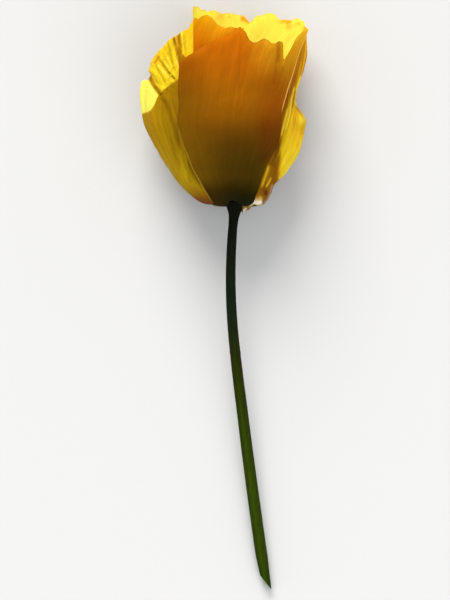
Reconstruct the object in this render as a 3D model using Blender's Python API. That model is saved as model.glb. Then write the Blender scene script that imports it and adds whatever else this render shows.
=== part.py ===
# Cut poppy flower lying on its side.
#
# One yellow cup-shaped bloom of four petals (two outer, two inner) on a bare,
# gently bent stem that widens into a funnel-shaped receptacle under the cup.
# Inside the cup stand the pistil and two whorls of stamens.
#
# Frame: +Z up, the surface it lies on is z = 0. The mouth of the cup points to
# +Y and the stem's cut end to -Y. The origin is under the middle of the whole
# flower's box. All dimensions below are in millimetres.

import math

import bpy
import numpy as np

for old in list(bpy.data.objects):
    bpy.data.objects.remove(old, do_unlink=True)

MM = 0.001

# ---------------------------------------------------------------- dimensions
CUP_Y = 23.25            # height along Y of the cup's lowest turn
CUP_Z = 12.25            # height of the cup's axis above the surface, at its base
CUP_RISE = 0.158         # the axis climbs this much per mm towards the mouth
DEPTH = 0.83             # the cup is a little flattened: depth over width
PETAL_T = 0.5            # petal thickness
LAYER = 1.1              # outer whorl stands this far outside the inner one
INNER_REST = 0.9         # where the cup rests, the inner whorl is pressed to this height

STEM_END_Y = -71.35      # middle of the slanted cut
STEM_CUT_SLOPE = -1.27   # rise of the cut along X
STEM_SIDES = 16

RECEPTACLE_TOP = 1.55    # height of the receptacle's top above CUP_Y
STAMENS_INNER = 12
STAMENS_OUTER = 16
FILAMENT_R = 0.18
ANTHER_R = 0.46


# ---------------------------------------------------------------- helpers
def curve(knots, x):
    """Smooth cubic through (x, y) knots, flat beyond its ends."""
    k = np.array(knots, float)
    xs, ys = k[:, 0], k[:, 1]
    m = np.zeros(len(xs))
    d = np.diff(ys) / np.diff(xs)
    m[0], m[-1] = d[0], d[-1]
    h = np.diff(xs)
    m[1:-1] = (d[:-1] * h[1:] + d[1:] * h[:-1]) / (h[1:] + h[:-1])
    x = np.clip(np.asarray(x, float), xs[0], xs[-1])
    i = np.clip(np.searchsorted(xs, x) - 1, 0, len(xs) - 2)
    hh = xs[i + 1] - xs[i]
    t = (x - xs[i]) / hh
    return (
        (2 * t**3 - 3 * t**2 + 1) * ys[i]
        + (t**3 - 2 * t**2 + t) * hh * m[i]
        + (-2 * t**3 + 3 * t**2) * ys[i + 1]
        + (t**3 - t**2) * hh * m[i + 1]
    )


def smooth(x, lo, hi):
    t = np.clip((np.asarray(x, float) - lo) / (hi - lo), 0, 1)
    return t * t * (3 - 2 * t)


def bump(x, mid, half):
    """1 at mid, falling to 0 at mid +- half."""
    t = np.clip(1 - np.abs(np.asarray(x, float) - mid) / half, 0, 1)
    return t * t * (3 - 2 * t)


# ---------------------------------------------------------------- the cup
# Half profile of the cup: height above CUP_Y, radius on the left side (-X),
# radius on the right side (+X). It starts beside the receptacle, dips a little
# and rises to the mouth.
PROFILE = [
    (1.45, 2.90, 2.90),
    (0.80, 4.60, 4.60),
    (0.65, 6.40, 6.40),
    (1.35, 8.60, 8.60),
    (3.40, 10.9, 10.6),
    (6.40, 13.0, 12.4),
    (9.60, 15.0, 13.8),
    (12.9, 16.8, 15.1),
    (16.8, 18.7, 16.5),
    (20.2, 19.8, 17.6),
    (24.0, 20.0, 18.2),
    (28.6, 19.9, 18.5),
    (33.2, 19.4, 19.1),
    (38.6, 18.8, 19.4),
    (44.0, 18.2, 18.9),
    (51.5, 17.6, 17.8),
]
_p = np.array(PROFILE)
_s = np.concatenate([[0], np.cumsum(np.hypot(np.diff(_p[:, 0]), np.diff(_p[:, 1])))])
PROFILE_LEN = _s[-1]
_s = _s / PROFILE_LEN
K_T = list(zip(_s, _p[:, 0]))
K_L = list(zip(_s, _p[:, 1]))
K_R = list(zip(_s, _p[:, 2]))

# Sideways place of the cup's axis by height above CUP_Y.
AXIS_X = [(0.5, 2.7), (2.5, 2.0), (5, 1.35), (8.75, 0.95), (13.75, 0.6), (18.75, 0.2),
          (23.75, -0.25), (28.75, -0.5), (32.5, -0.3), (36.25, 0.25), (41.25, 1.5),
          (46.25, 2.9), (51.5, 4.3)]


def axis_x(t):
    return curve(AXIS_X, t)


def axis_z(t):
    return CUP_Z + CUP_RISE * np.asarray(t, float)


def place(rho, phi, t, depth=None):
    """A point at radius rho, angle phi (0 = +X, 90 = up) and height t."""
    if depth is None:
        depth = 1 - (1 - DEPTH) * smooth(t, 1.0, 9.0)
    return np.stack(
        [
            axis_x(t) + rho * np.cos(phi),
            CUP_Y + np.asarray(t, float),
            axis_z(t) + rho * depth * np.sin(phi),
        ],
        axis=-1,
    )


def height_to_s(t):
    """Profile parameter of a height on the rising part of the cup."""
    ss = np.linspace(0.12, 1, 600)
    return np.interp(t, curve(K_T, ss), ss)


def ribs(phi, s, offset):
    """Radius and height of the cup's surface, moved out by offset."""
    # the whorls lie closer together under the cup
    offset = offset * (0.68 + 0.32 * smooth(s, 0.08, 0.22))
    side = 0.5 * (1 + np.cos(phi))
    e = 1e-3

    def rt(q):
        return curve(K_L, q) * (1 - side) + curve(K_R, q) * side, curve(K_T, q)

    r0, t0 = rt(np.clip(s - e, 0, 1))
    r1, t1 = rt(np.clip(s + e, 0, 1))
    r, t = rt(s)
    dr, dt = r1 - r0, t1 - t0
    n = np.hypot(dr, dt) + 1e-9
    return r + offset * dt / n, t - offset * dr / n


def pleats(phi, s):
    """Soft lengthwise waves that all petals share, so that they nest."""
    a = 0.55 * smooth(s, 0.18, 0.9)
    # pressed smooth where the cup rests
    a = a * (1 - bump(np.degrees(phi), 270, 48) * (1 - smooth(s, 0.5, 0.75)))
    return a * (0.55 * np.sin(7 * phi + 0.5) + 0.45 * np.sin(12 * phi + 2.1))


# ---------------------------------------------------------------- petals
# Each petal: its margins in degrees by height above CUP_Y (first and last
# column), its rim height by angle, its whorl and its own lobes.
PETALS = {
    "front_petal": {
        "first": [(0, 59), (2, 58.5), (5, 54.8), (7.75, 52.6), (10.75, 49.6), (13, 45.6), (15, 42.6),
                  (17, 41.0), (20, 41.3), (23.5, 40.0), (27.5, 34.4), (31.7, 30.2), (34.7, 28.8),
                  (37.5, 27.6), (40.3, 25.8), (43, 25.5), (50, 26)],
        "last": [(0, 133), (2, 125.5), (5, 121.8), (9, 123.6), (14, 125), (19, 125.6), (26, 122), (33, 122.2),
                 (36, 123.0), (50, 122)],
        "rim": [(20, 43.9), (26, 43.7), (31, 43.25), (34, 42.5), (37.9, 40.9), (40.9, 38.7), (43.3, 37.2),
                (44.9, 36.3), (46.5, 37.4), (49.3, 39.6), (51.5, 40.4), (53.6, 40.7), (59.5, 40.15),
                (65.5, 41.25), (72.8, 40.3), (76.1, 40.9), (78.6, 41.9), (80.8, 43.0), (83.4, 43.6),
                (84.7, 44.1), (87.5, 43.5), (90.9, 42.1), (94.4, 41.85), (97.7, 41.5), (101, 40.95),
                (103.9, 40.05), (107.2, 39.6), (110.4, 38.95), (115.6, 37.65), (119, 36.8), (121, 36.1),
                (123, 35.5), (127, 34.5)],
        "offset": LAYER,
    },
    "back_petal": {
        "first": [(0, 221), (4, 231), (10, 238), (22, 246), (34, 247), (38, 245), (44, 238.5), (50, 232.3)],
        "last": [(0, 328), (8, 326), (24, 331), (34, 335), (41, 337), (43.5, 345), (45.5, 345), (50, 340)],
        "rim": [(230, 50.0), (234.2, 49.85), (237, 49.75), (240.3, 49.0), (243.8, 48.9), (246.4, 48.4),
                (248.5, 48.7), (253.6, 48.6), (257.8, 48.0), (262, 48.15), (266.4, 48.0), (271.2, 47.6),
                (274.4, 47.55), (276.7, 47.0), (279.6, 46.1), (282, 46.15), (283.5, 46.8), (286, 47.5),
                (288.6, 47.5), (293, 48.0), (298, 47.9), (300.5, 47.35), (303.1, 46.6), (308.1, 46.5),
                (314.6, 46.3), (319.7, 46.7), (324.7, 46.2), (329.5, 45.6), (334, 45.0), (339, 44.5),
                (342, 44.1), (346, 43.7)],
        "offset": LAYER,
    },
    "left_petal": {
        "first": [(0, 121), (6, 110), (14, 100), (30, 90), (42, 82), (50, 80)],
        "last": [(0, 229), (8, 240), (20, 252), (34, 252), (50, 248)],
        "rim": [(80, 44.0), (87, 44.0), (92.8, 44.2), (97.4, 44.3), (101.5, 44.7), (104.8, 45.3), (107.6, 46.2),
                (110.2, 46.85), (112.4, 47.2), (115.2, 47.2), (117.8, 46.95), (120.9, 46.35), (123.4, 46.6),
                (125.2, 46.7), (127.6, 44.2), (131, 43.8), (137, 42.6), (143, 41.4), (149, 40.0), (155, 38.3),
                (160, 36.7), (165, 34.3), (169.5, 31.4), (174, 31.4), (180, 30.0), (188, 28.4),
                (200, 30.6), (214, 34.4), (228, 37.2), (242, 37.6), (256, 35.4)],
        "offset": 0.0,
    },
    "right_petal": {
        "first": [(0, -50), (8, -64), (20, -74), (34, -74), (50, -72)],
        "last": [(0, 64), (3, 68), (8, 72), (14, 72), (30, 71), (50, 70)],
        "rim": [(-74, 30.5), (-62, 33.4), (-48, 35.0), (-34, 36.4), (-22, 39.2), (-8, 42.2),
                (6, 43.1), (16, 42.4), (27, 39.0), (38, 35.6), (48, 34.0), (58, 33.2), (70, 30.8)],
        "offset": 0.0,
    },
}


# The right petal's own outline, added to its radius by height.
RIGHT_SIDE = [(0, 0.2), (1.2, 0.2), (2.5, -0.2), (4.0, -0.7), (5.4, -0.5), (7.2, 0.45), (9.5, 0.5),
              (11.2, 0.2), (13, -0.2), (17, -0.25), (19, -0.45), (22, -0.45), (24.5, -0.65),
              (27, -0.25), (29, 0.0), (31, 0.25), (33, 0.5), (36, 0.5), (38.5, 0.1), (41, -0.5),
              (43.5, -1.0)]


def foot_shape(name, deg, s):
    """How far a petal's foot stands above or droops below the common profile."""
    if name == "front_petal":
        return 1.45 * bump(deg, 94, 30) * (1 - smooth(s, 0.09, 0.30))
    if name == "left_petal":
        return -0.4 * bump(deg, 195, 60) * bump(s, 0.085, 0.07)
    if name == "right_petal":
        return -0.6 * bump(deg, 8, 44) * bump(s, 0.055, 0.035) + 0.45 * bump(deg, 0, 40) * bump(s, 0.115, 0.05)
    return 0.0 * s


def own_shape(name, phi, s, t, margin, rim):
    """Radial swelling that belongs to one petal alone.

    margin: distance along the petal from its nearer side margin, in mm
    rim: distance along the rib from the rim, in mm
    """
    deg = np.degrees(phi)
    out = np.zeros_like(t)
    if name == "left_petal":
        out += 0.35 * bump(deg, 186, 26) * bump(t, 27.5, 9)
        out -= 0.7 * bump(deg, 169, 9) * smooth(t, 14, 30)
    if name == "right_petal":
        out += 2.7 * bump(deg, 3, 34) * (smooth(t, 6, 14) - smooth(t, 20.5, 26.5))
        out += bump(deg, 0, 38) * curve(RIGHT_SIDE, t)
    if name == "front_petal":
        out += 0.5 * bump(rim, 0, 5)
    return out


def petal_surface(name, nu, nv):
    """Grid of points in the middle of a petal, (nv + 1, nu + 1, 3)."""
    p = PETALS[name]
    u = np.linspace(0, 1, nu + 1)
    v = np.linspace(0, 1, nv + 1)
    v = v ** 1.12
    first_top, last_top = curve(p["first"], 45.0), curve(p["last"], 45.0)
    deg_top = first_top + (last_top - first_top) * u
    for _ in range(6):
        # the rim angle of a column depends on the height at which it ends
        t_top = curve(p["rim"], deg_top)
        deg_top = curve(p["first"], t_top) * (1 - u) + curve(p["last"], t_top) * u
    t_top = curve(p["rim"], deg_top)
    s_top = height_to_s(t_top)
    s = v[:, None] * s_top[None, :]
    t_here = curve(K_T, s)
    a0 = curve(p["first"], t_here)
    a1 = curve(p["last"], t_here)
    deg = a0 * (1 - u[None, :]) + a1 * u[None, :]
    phi = np.radians(deg)
    r, t = ribs(phi, s, p["offset"])
    t = t + foot_shape(name, deg, s)
    rim = (s_top[None, :] - s) * PROFILE_LEN
    margin = np.minimum(u, 1 - u)[None, :] * np.radians(a1 - a0) * r
    r = r + pleats(phi, s) + own_shape(name, phi, s, t, margin, rim)
    return place(r, phi, t)


def shell(name, mid, thickness, colour, rest):
    """Closed sheet of even thickness around a grid of middle points."""
    du = np.gradient(mid, axis=1)
    dv = np.gradient(mid, axis=0)
    n = np.cross(du, dv)
    n /= np.linalg.norm(n, axis=2, keepdims=True) + 1e-12
    # normals point away from the cup's axis
    centre = np.stack([axis_x(mid[..., 1] - CUP_Y), mid[..., 1], axis_z(mid[..., 1] - CUP_Y)], -1)
    if ((mid - centre) * n).sum(-1)[mid.shape[0] // 2:].mean() < 0:
        n = -n
    out = mid + n * thickness / 2
    inn = mid - n * thickness / 2
    # flattened where it rests: the outside on z = rest, the inside above it
    out[..., 2] = np.maximum(out[..., 2], rest)
    inn[..., 2] = np.maximum(inn[..., 2], rest + thickness)
    rows, cols = mid.shape[:2]
    verts = np.concatenate([out.reshape(-1, 3), inn.reshape(-1, 3)]) * MM
    k = rows * cols

    def o(i, j):
        return i * cols + j

    faces = []
    for i in range(rows - 1):
        for j in range(cols - 1):
            a, b, c, d = o(i, j), o(i, j + 1), o(i + 1, j + 1), o(i + 1, j)
            faces.append((a, b, c, d))
            faces.append((k + d, k + c, k + b, k + a))
    ring = [o(0, j) for j in range(cols)]
    ring += [o(i, cols - 1) for i in range(1, rows)]
    ring += [o(rows - 1, j) for j in range(cols - 2, -1, -1)]
    ring += [o(i, 0) for i in range(rows - 2, 0, -1)]
    for a, b in zip(ring, ring[1:] + ring[:1]):
        faces.append((b, a, k + a, k + b))
    return solid(name, verts, faces, colour)


def solid(name, verts, faces, colour, smooth_angle=50):
    mesh = bpy.data.meshes.new(name)
    mesh.from_pydata([tuple(v) for v in verts], [], faces)
    mesh.validate()
    mesh.update()
    # one closed body has a positive volume when its faces point out
    co = np.array([v.co[:] for v in mesh.vertices], float)
    mesh.calc_loop_triangles()
    tri = np.array([t.vertices[:] for t in mesh.loop_triangles])
    vol = np.einsum("ij,ij->i", co[tri[:, 0]], np.cross(co[tri[:, 1]], co[tri[:, 2]])).sum()
    if vol < 0:
        mesh.flip_normals()
    mesh.shade_smooth()
    mesh.set_sharp_from_angle(angle=math.radians(smooth_angle))
    obj = bpy.data.objects.new(name, mesh)
    bpy.context.scene.collection.objects.link(obj)
    obj.data.materials.append(finish(name, colour))
    obj.parent = flower
    return obj


def finish(name, colour):
    rgb, rough = colour
    mat = bpy.data.materials.new(name)
    mat.use_nodes = True
    b = mat.node_tree.nodes["Principled BSDF"]
    b.inputs["Base Color"].default_value = (*rgb, 1)
    b.inputs["Roughness"].default_value = rough
    b.inputs["Metallic"].default_value = 0.0
    mat.diffuse_color = (*rgb, 1)
    return mat


YELLOW = ((0.84, 0.58, 0.02), 0.55)
AMBER = ((0.62, 0.26, 0.005), 0.55)
GREEN = ((0.05, 0.09, 0.012), 0.5)
PALE_GREEN = ((0.30, 0.36, 0.08), 0.5)
POLLEN = ((0.80, 0.42, 0.03), 0.8)

flower = bpy.data.objects.new("flower", None)
bpy.context.scene.collection.objects.link(flower)

for petal, colour in (("front_petal", AMBER), ("back_petal", YELLOW),
                      ("left_petal", YELLOW), ("right_petal", YELLOW)):
    grid = petal_surface(petal, 32, 22)
    shell(petal, grid, PETAL_T, colour, rest=INNER_REST if PETALS[petal]["offset"] == 0 else 0.0)


# ---------------------------------------------------------------- round pieces
def tube(name, centres, radii, sides, colour, end_shift=None, squash=None):
    """Closed tube whose rings lie across the path; ends are fans."""
    centres = np.asarray(centres, float)
    n = len(centres)
    verts, faces = [], []
    ang = np.linspace(0, 2 * math.pi, sides, endpoint=False)
    tan = np.gradient(centres, axis=0)
    tan /= np.linalg.norm(tan, axis=1, keepdims=True)
    ref = np.array([0.0, 0.0, 1.0])
    for i in range(n):
        side = np.cross(tan[i], ref)
        side /= np.linalg.norm(side)
        up = np.cross(side, tan[i])
        if squash is not None:
            up, side = up * squash[i], side
        for a in ang:
            verts.append(centres[i] + radii[i] * (math.cos(a) * side + math.sin(a) * up))
    verts.append(centres[0])
    verts.append(centres[-1])
    for i in range(n - 1):
        for j in range(sides):
            a, b = i * sides + j, i * sides + (j + 1) % sides
            faces.append((a, b, b + sides, a + sides))
    first, last = n * sides, n * sides + 1
    for j in range(sides):
        faces.append((first, (j + 1) % sides, j))
        faces.append((last, (n - 1) * sides + j, (n - 1) * sides + (j + 1) % sides))
    return solid(name, np.array(verts) * MM, faces, colour)


# Stem and receptacle, grown as one piece. Rings lie across Y.
STEM_X = [(-73.3, 10.75), (-63.5, 9.25), (-51.5, 7.55), (-39.5, 5.95), (-27.5, 4.43),
          (-15.5, 2.95), (-5, 1.96), (5.5, 1.62), (13, 1.83), (18.5, 2.22), (23.25, 2.72),
          (25.0, 2.72)]
STEM_R = [(-73.3, 1.40), (-60, 1.48), (-40, 1.45), (-20, 1.36), (0, 1.25), (14, 1.19),
          (19, 1.20), (20.6, 1.34), (22.0, 1.75), (23.2, 2.15), (24.2, 2.40), (24.8, 2.34)]
STEM_LEN = CUP_Y - STEM_END_Y
STEM_END_Z = 1.42


def stem_z(y):
    """The stem leaves the cup along its axis and comes down to the surface."""
    q = np.clip((CUP_Y - np.asarray(y, float)) / STEM_LEN, 0, None)
    fall = CUP_RISE * STEM_LEN
    z = CUP_Z - fall * q + (STEM_END_Z - CUP_Z + fall) * q**2
    above = np.clip(np.asarray(y, float) - CUP_Y, 0, None)
    return z + CUP_RISE * above


def stem():
    ys = np.concatenate([
        np.linspace(STEM_END_Y, 18.0, 30),
        np.array([19.3, 20.3, 21.1, 21.9, 22.6, 23.3, 24.0, 24.5, CUP_Y + RECEPTACLE_TOP]),
    ])
    xs, rs, zs = curve(STEM_X, ys), curve(STEM_R, ys), stem_z(ys)
    rs[-1] = 2.0
    ang = np.linspace(0, 2 * math.pi, STEM_SIDES, endpoint=False)
    verts, faces = [], []
    for i, y in enumerate(ys):
        dx, dz = rs[i] * np.cos(ang), rs[i] * np.sin(ang)
        # the slanted cut dies out over the first few rings
        lean = STEM_CUT_SLOPE * dx * max(0.0, 1 - i / 2.0)
        for j in range(STEM_SIDES):
            verts.append((xs[i] + dx[j], y + lean[j], zs[i] + dz[j]))
    n = len(ys)
    verts.append((xs[0], ys[0], zs[0]))
    verts.append((xs[-1], ys[-1], zs[-1]))
    for i in range(n - 1):
        for j in range(STEM_SIDES):
            a, b = i * STEM_SIDES + j, i * STEM_SIDES + (j + 1) % STEM_SIDES
            faces.append((a, b, b + STEM_SIDES, a + STEM_SIDES))
    for j in range(STEM_SIDES):
        faces.append((n * STEM_SIDES, (j + 1) % STEM_SIDES, j))
        faces.append((n * STEM_SIDES + 1, (n - 1) * STEM_SIDES + j,
                      (n - 1) * STEM_SIDES + (j + 1) % STEM_SIDES))
    verts = np.array(verts)
    verts[:, 2] = np.maximum(verts[:, 2], 0)
    solid("stem", verts * MM, faces, GREEN)


stem()


# Pistil: slim ribbed ovary, short style and a five-rayed stigma, in one piece.
PISTIL = [(1.85, 0.62), (2.3, 0.80), (4.0, 1.00), (6.5, 1.12), (9.0, 0.98), (11.5, 0.68),
          (12.6, 0.50), (13.3, 0.48), (13.8, 0.80), (14.2, 1.25), (14.6, 1.20), (14.9, 0.55)]


def pistil():
    sides = 20
    ts = np.array([1.85, 2.3, 3.4, 5.0, 6.8, 8.6, 10.2, 11.6, 12.6, 13.3, 13.8, 14.2, 14.6, 14.9])
    rs = curve(PISTIL, ts)
    ang = np.linspace(0, 2 * math.pi, sides, endpoint=False)
    verts, faces = [], []
    for t, r in zip(ts, rs):
        ray = smooth(t, 13.3, 14.0)
        rr = r * (1 + 0.42 * ray * (np.cos(5 * ang) - 0.3))
        verts += list(place(rr, ang, np.full(sides, t), depth=1.0))
    verts.append(place(0.0, 0.0, np.array(ts[0]), depth=1.0))
    verts.append(place(0.0, 0.0, np.array(ts[-1] + 0.1), depth=1.0))
    n = len(ts)
    for i in range(n - 1):
        for j in range(sides):
            a, b = i * sides + j, i * sides + (j + 1) % sides
            faces.append((a, b, b + sides, a + sides))
    for j in range(sides):
        faces.append((n * sides, (j + 1) % sides, j))
        faces.append((n * sides + 1, (n - 1) * sides + j, (n - 1) * sides + (j + 1) % sides))
    solid("pistil", np.array(verts) * MM, faces, PALE_GREEN)


pistil()


# Stamens: a thread (filament) and a long pollen sac (anther) in one piece.
def stamen(name, ang, foot, reach, top, anther_len):
    """foot: radius of its foot; reach: radius of its tip; top: its tip's height."""
    t0 = RECEPTACLE_TOP + 0.3
    join = top - anther_len
    ts = np.concatenate([
        np.linspace(t0, join, 5),
        join + anther_len * np.array([0.10, 0.35, 0.70, 0.93, 1.0]),
    ])
    q = (ts - t0) / (top - t0)
    rho = foot + (reach - foot) * (0.35 * q + 0.65 * q**1.7)
    rad = np.array([FILAMENT_R] * 4 + [FILAMENT_R * 0.9]
                   + [ANTHER_R * f for f in (0.72, 1.0, 0.95, 0.66, 0.25)])
    twist = ang + 0.10 * np.sin(3.1 * ang + 1.0) * q**2
    pts = place(rho, twist, ts, depth=1.0)
    tube(name, pts, rad, 6, POLLEN)


count = 0
for k in range(STAMENS_INNER):
    count += 1
    a = 2 * math.pi * (k + 0.5) / STAMENS_INNER
    stamen(f"stamen_{count:02d}", a, 1.22, 3.3 + 0.35 * math.sin(5.3 * k),
           13.2 + 0.8 * math.sin(2.4 * k + 0.7), 3.6)
for k in range(STAMENS_OUTER):
    count += 1
    a = 2 * math.pi * k / STAMENS_OUTER
    stamen(f"stamen_{count:02d}", a, 1.88, 6.2 + 0.6 * math.sin(4.1 * k + 0.4),
           11.3 + 0.9 * math.sin(2.9 * k + 2.0), 3.4)
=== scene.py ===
# Cut poppy flower lying on its side: the looks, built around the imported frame.
#
# Frame: metres, +Z up, surface at z = 0, mouth of the cup towards +Y, cut end of
# the stem towards -Y. Shapes are worked out in millimetres and scaled at the end.
# T is the height above the cup's lowest turn, X the place across the flower.

import math

import bpy
import numpy as np
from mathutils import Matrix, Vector


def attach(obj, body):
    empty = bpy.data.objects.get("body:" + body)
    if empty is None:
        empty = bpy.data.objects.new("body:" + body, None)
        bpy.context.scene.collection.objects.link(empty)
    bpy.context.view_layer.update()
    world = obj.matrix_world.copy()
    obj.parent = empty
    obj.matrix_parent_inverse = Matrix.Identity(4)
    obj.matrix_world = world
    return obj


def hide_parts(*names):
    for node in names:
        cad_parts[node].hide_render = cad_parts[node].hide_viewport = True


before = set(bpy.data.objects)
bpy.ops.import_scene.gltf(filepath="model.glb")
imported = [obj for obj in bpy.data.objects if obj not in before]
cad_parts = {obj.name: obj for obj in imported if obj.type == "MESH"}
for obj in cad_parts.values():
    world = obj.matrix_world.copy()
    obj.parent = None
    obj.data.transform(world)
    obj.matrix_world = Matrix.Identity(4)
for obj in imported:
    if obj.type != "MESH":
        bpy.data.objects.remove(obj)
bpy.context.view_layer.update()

MM = 0.001
scene = bpy.context.scene

# ================================================================ camera, light, floor
AIM = Vector((0.00022, -0.00047, 0.018))
LENS, SENSOR = 1000.0, 36.0
FRAME_HEIGHT = 0.150
camera = bpy.data.objects.new("camera", bpy.data.cameras.new("camera"))
camera.data.lens = LENS
camera.data.sensor_fit = "VERTICAL"
camera.data.sensor_width = SENSOR
camera.data.sensor_height = SENSOR
camera.data.clip_end = 50
camera.data.dof.use_dof = False
camera.location = AIM + Vector((0, 0, FRAME_HEIGHT * LENS / SENSOR))
camera.rotation_euler = (0, 0, 0)
scene.collection.objects.link(camera)
scene.camera = camera
scene.view_settings.view_transform = "Standard"


def soft_sun(name, towards, spread, strength, colour):
    """Even, soft light over the whole floor, from the direction given."""
    data = bpy.data.lights.new(name, "SUN")
    data.angle = math.radians(spread)
    data.energy = strength
    data.color = colour
    obj = bpy.data.objects.new(name, data)
    obj.location = Vector(towards) * 0.6
    obj.rotation_euler = Vector(towards).to_track_quat("Z", "Y").to_euler()
    scene.collection.objects.link(obj)
    return obj


soft_sun("key", (-0.18, 0.80, 0.58), 35, 4.15, (1.0, 0.975, 0.93))
soft_sun("fill", (0.45, -0.35, 0.85), 60, 0.95, (0.96, 0.98, 1.0))

world = bpy.data.worlds.new("studio")
scene.world = world
world.use_nodes = True
world.node_tree.nodes["Background"].inputs["Color"].default_value = (0.97, 0.98, 1.0, 1)
world.node_tree.nodes["Background"].inputs["Strength"].default_value = 0.85

floor_mesh = bpy.data.meshes.new("floor")
F = 6.0
floor_mesh.from_pydata([(-F, -F, 0), (F, -F, 0), (F, F, 0), (-F, F, 0)], [], [(0, 1, 2, 3)])
floor = bpy.data.objects.new("floor", floor_mesh)
floor.location.z = -0.00004
scene.collection.objects.link(floor)
floor_mat = bpy.data.materials.new("floor")
floor_mat.use_nodes = True
_b = floor_mat.node_tree.nodes["Principled BSDF"]
_b.inputs["Base Color"].default_value = (0.50, 0.50, 0.495, 1)
_b.inputs["Roughness"].default_value = 0.9
_b.inputs["Specular IOR Level"].default_value = 0.2
floor_mesh.materials.append(floor_mat)


# ================================================================ helpers
def curve(knots, x):
    """Smooth cubic through (x, y) knots, flat beyond its ends."""
    k = np.array(knots, float)
    xs, ys = k[:, 0], k[:, 1]
    m = np.zeros(len(xs))
    d = np.diff(ys) / np.diff(xs)
    m[0], m[-1] = d[0], d[-1]
    h = np.diff(xs)
    m[1:-1] = (d[:-1] * h[1:] + d[1:] * h[:-1]) / (h[1:] + h[:-1])
    x = np.clip(np.asarray(x, float), xs[0], xs[-1])
    i = np.clip(np.searchsorted(xs, x) - 1, 0, len(xs) - 2)
    hh = xs[i + 1] - xs[i]
    t = (x - xs[i]) / hh
    return (
        (2 * t**3 - 3 * t**2 + 1) * ys[i]
        + (t**3 - 2 * t**2 + t) * hh * m[i]
        + (-2 * t**3 + 3 * t**2) * ys[i + 1]
        + (t**3 - t**2) * hh * m[i + 1]
    )


def line(knots, x):
    k = np.array(knots, float)
    return np.interp(x, k[:, 0], k[:, 1])


def smooth(x, lo, hi):
    t = np.clip((np.asarray(x, float) - lo) / (hi - lo), 0, 1)
    return t * t * (3 - 2 * t)


def bump(x, mid, half):
    t = np.clip(1 - np.abs(np.asarray(x, float) - mid) / half, 0, 1)
    return t * t * (3 - 2 * t)


def noise(x, y, seed=0):
    """Smooth gradient noise of two coordinates, about -1 to 1."""
    x, y = np.broadcast_arrays(np.asarray(x, float), np.asarray(y, float))
    xi, yi = np.floor(x).astype(np.int64), np.floor(y).astype(np.int64)
    xf, yf = x - xi, y - yi

    def corner(ix, iy, fx, fy):
        h = (ix * 374761393 + iy * 668265263 + seed * 974711 + 12345) & 0xFFFFFFFF
        h = ((h ^ (h >> 13)) * 1274126177) & 0xFFFFFFFF
        a = (h ^ (h >> 16)) * (2 * math.pi / 4294967296.0)
        return np.cos(a) * fx + np.sin(a) * fy

    wx = xf * xf * xf * (xf * (xf * 6 - 15) + 10)
    wy = yf * yf * yf * (yf * (yf * 6 - 15) + 10)
    n00, n10 = corner(xi, yi, xf, yf), corner(xi + 1, yi, xf - 1, yf)
    n01, n11 = corner(xi, yi + 1, xf, yf - 1), corner(xi + 1, yi + 1, xf - 1, yf - 1)
    return 1.5 * ((n00 * (1 - wx) + n10 * wx) * (1 - wy) + (n01 * (1 - wx) + n11 * wx) * wy)


def to_path(x, y, path):
    """Distance from each point to an open path, and how far along it (0 to 1)."""
    path = np.array(path, float)
    seg = np.hypot(*np.diff(path, axis=0).T)
    start = np.concatenate([[0], np.cumsum(seg)])
    best = np.full(np.shape(x), 1e9)
    where = np.zeros(np.shape(x))
    for k in range(len(seg)):
        ax, ay = path[k]
        dx, dy = path[k + 1] - path[k]
        q = np.clip(((x - ax) * dx + (y - ay) * dy) / (dx * dx + dy * dy), 0, 1)
        d = np.hypot(x - ax - q * dx, y - ay - q * dy)
        where = np.where(d < best, (start[k] + q * seg[k]) / start[-1], where)
        best = np.minimum(best, d)
    return best, where


def crease(x, y, path, width, fade=0.15):
    """1 in the middle of a crease, 0 beyond its width, fading at both ends."""
    d, q = to_path(x, y, path)
    ends = smooth(q, 0, fade) * (1 - smooth(q, 1 - fade, 1)) if fade > 0 else 1.0
    return np.exp(-(d / width) ** 2) * ends


# ================================================================ the cup, as in the CAD
CUP_Y, CUP_Z, CUP_RISE, DEPTH = 23.25, 12.25, 0.158, 0.83
LAYER, INNER_REST = 1.1, 0.9
STEM_END_Y, STEM_CUT_SLOPE, RECEPTACLE_TOP = -71.35, -1.27, 1.55
PROFILE = [
    (1.45, 2.90, 2.90), (0.80, 4.60, 4.60), (0.65, 6.40, 6.40), (1.35, 8.60, 8.60),
    (3.40, 10.9, 10.6), (6.40, 13.0, 12.4), (9.60, 15.0, 13.8), (12.9, 16.8, 15.1),
    (16.8, 18.7, 16.5), (20.2, 19.8, 17.6), (24.0, 20.0, 18.2), (28.6, 19.9, 18.5),
    (33.2, 19.4, 19.1), (38.6, 18.8, 19.4), (44.0, 18.2, 18.9), (51.5, 17.6, 17.8),
]
_p = np.array(PROFILE)
_s = np.concatenate([[0], np.cumsum(np.hypot(np.diff(_p[:, 0]), np.diff(_p[:, 1])))])
PROFILE_LEN = _s[-1]
_s = _s / PROFILE_LEN
K_T, K_L, K_R = (list(zip(_s, _p[:, c])) for c in range(3))
AXIS_X = [(0.5, 2.7), (2.5, 2.0), (5, 1.35), (8.75, 0.95), (13.75, 0.6), (18.75, 0.2),
          (23.75, -0.25), (28.75, -0.5), (32.5, -0.3), (36.25, 0.25), (41.25, 1.5),
          (46.25, 2.9), (51.5, 4.3)]


def axis_x(t):
    return curve(AXIS_X, t)


def axis_z(t):
    return CUP_Z + CUP_RISE * np.asarray(t, float)


def place(rho, phi, t, depth=None):
    if depth is None:
        depth = 1 - (1 - DEPTH) * smooth(t, 1.0, 9.0)
    return np.stack([axis_x(t) + rho * np.cos(phi), CUP_Y + np.asarray(t, float),
                     axis_z(t) + rho * depth * np.sin(phi)], axis=-1)


_ss = np.linspace(0.12, 1, 600)
_tt = curve(K_T, _ss)


def height_to_s(t):
    return np.interp(t, _tt, _ss)


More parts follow.
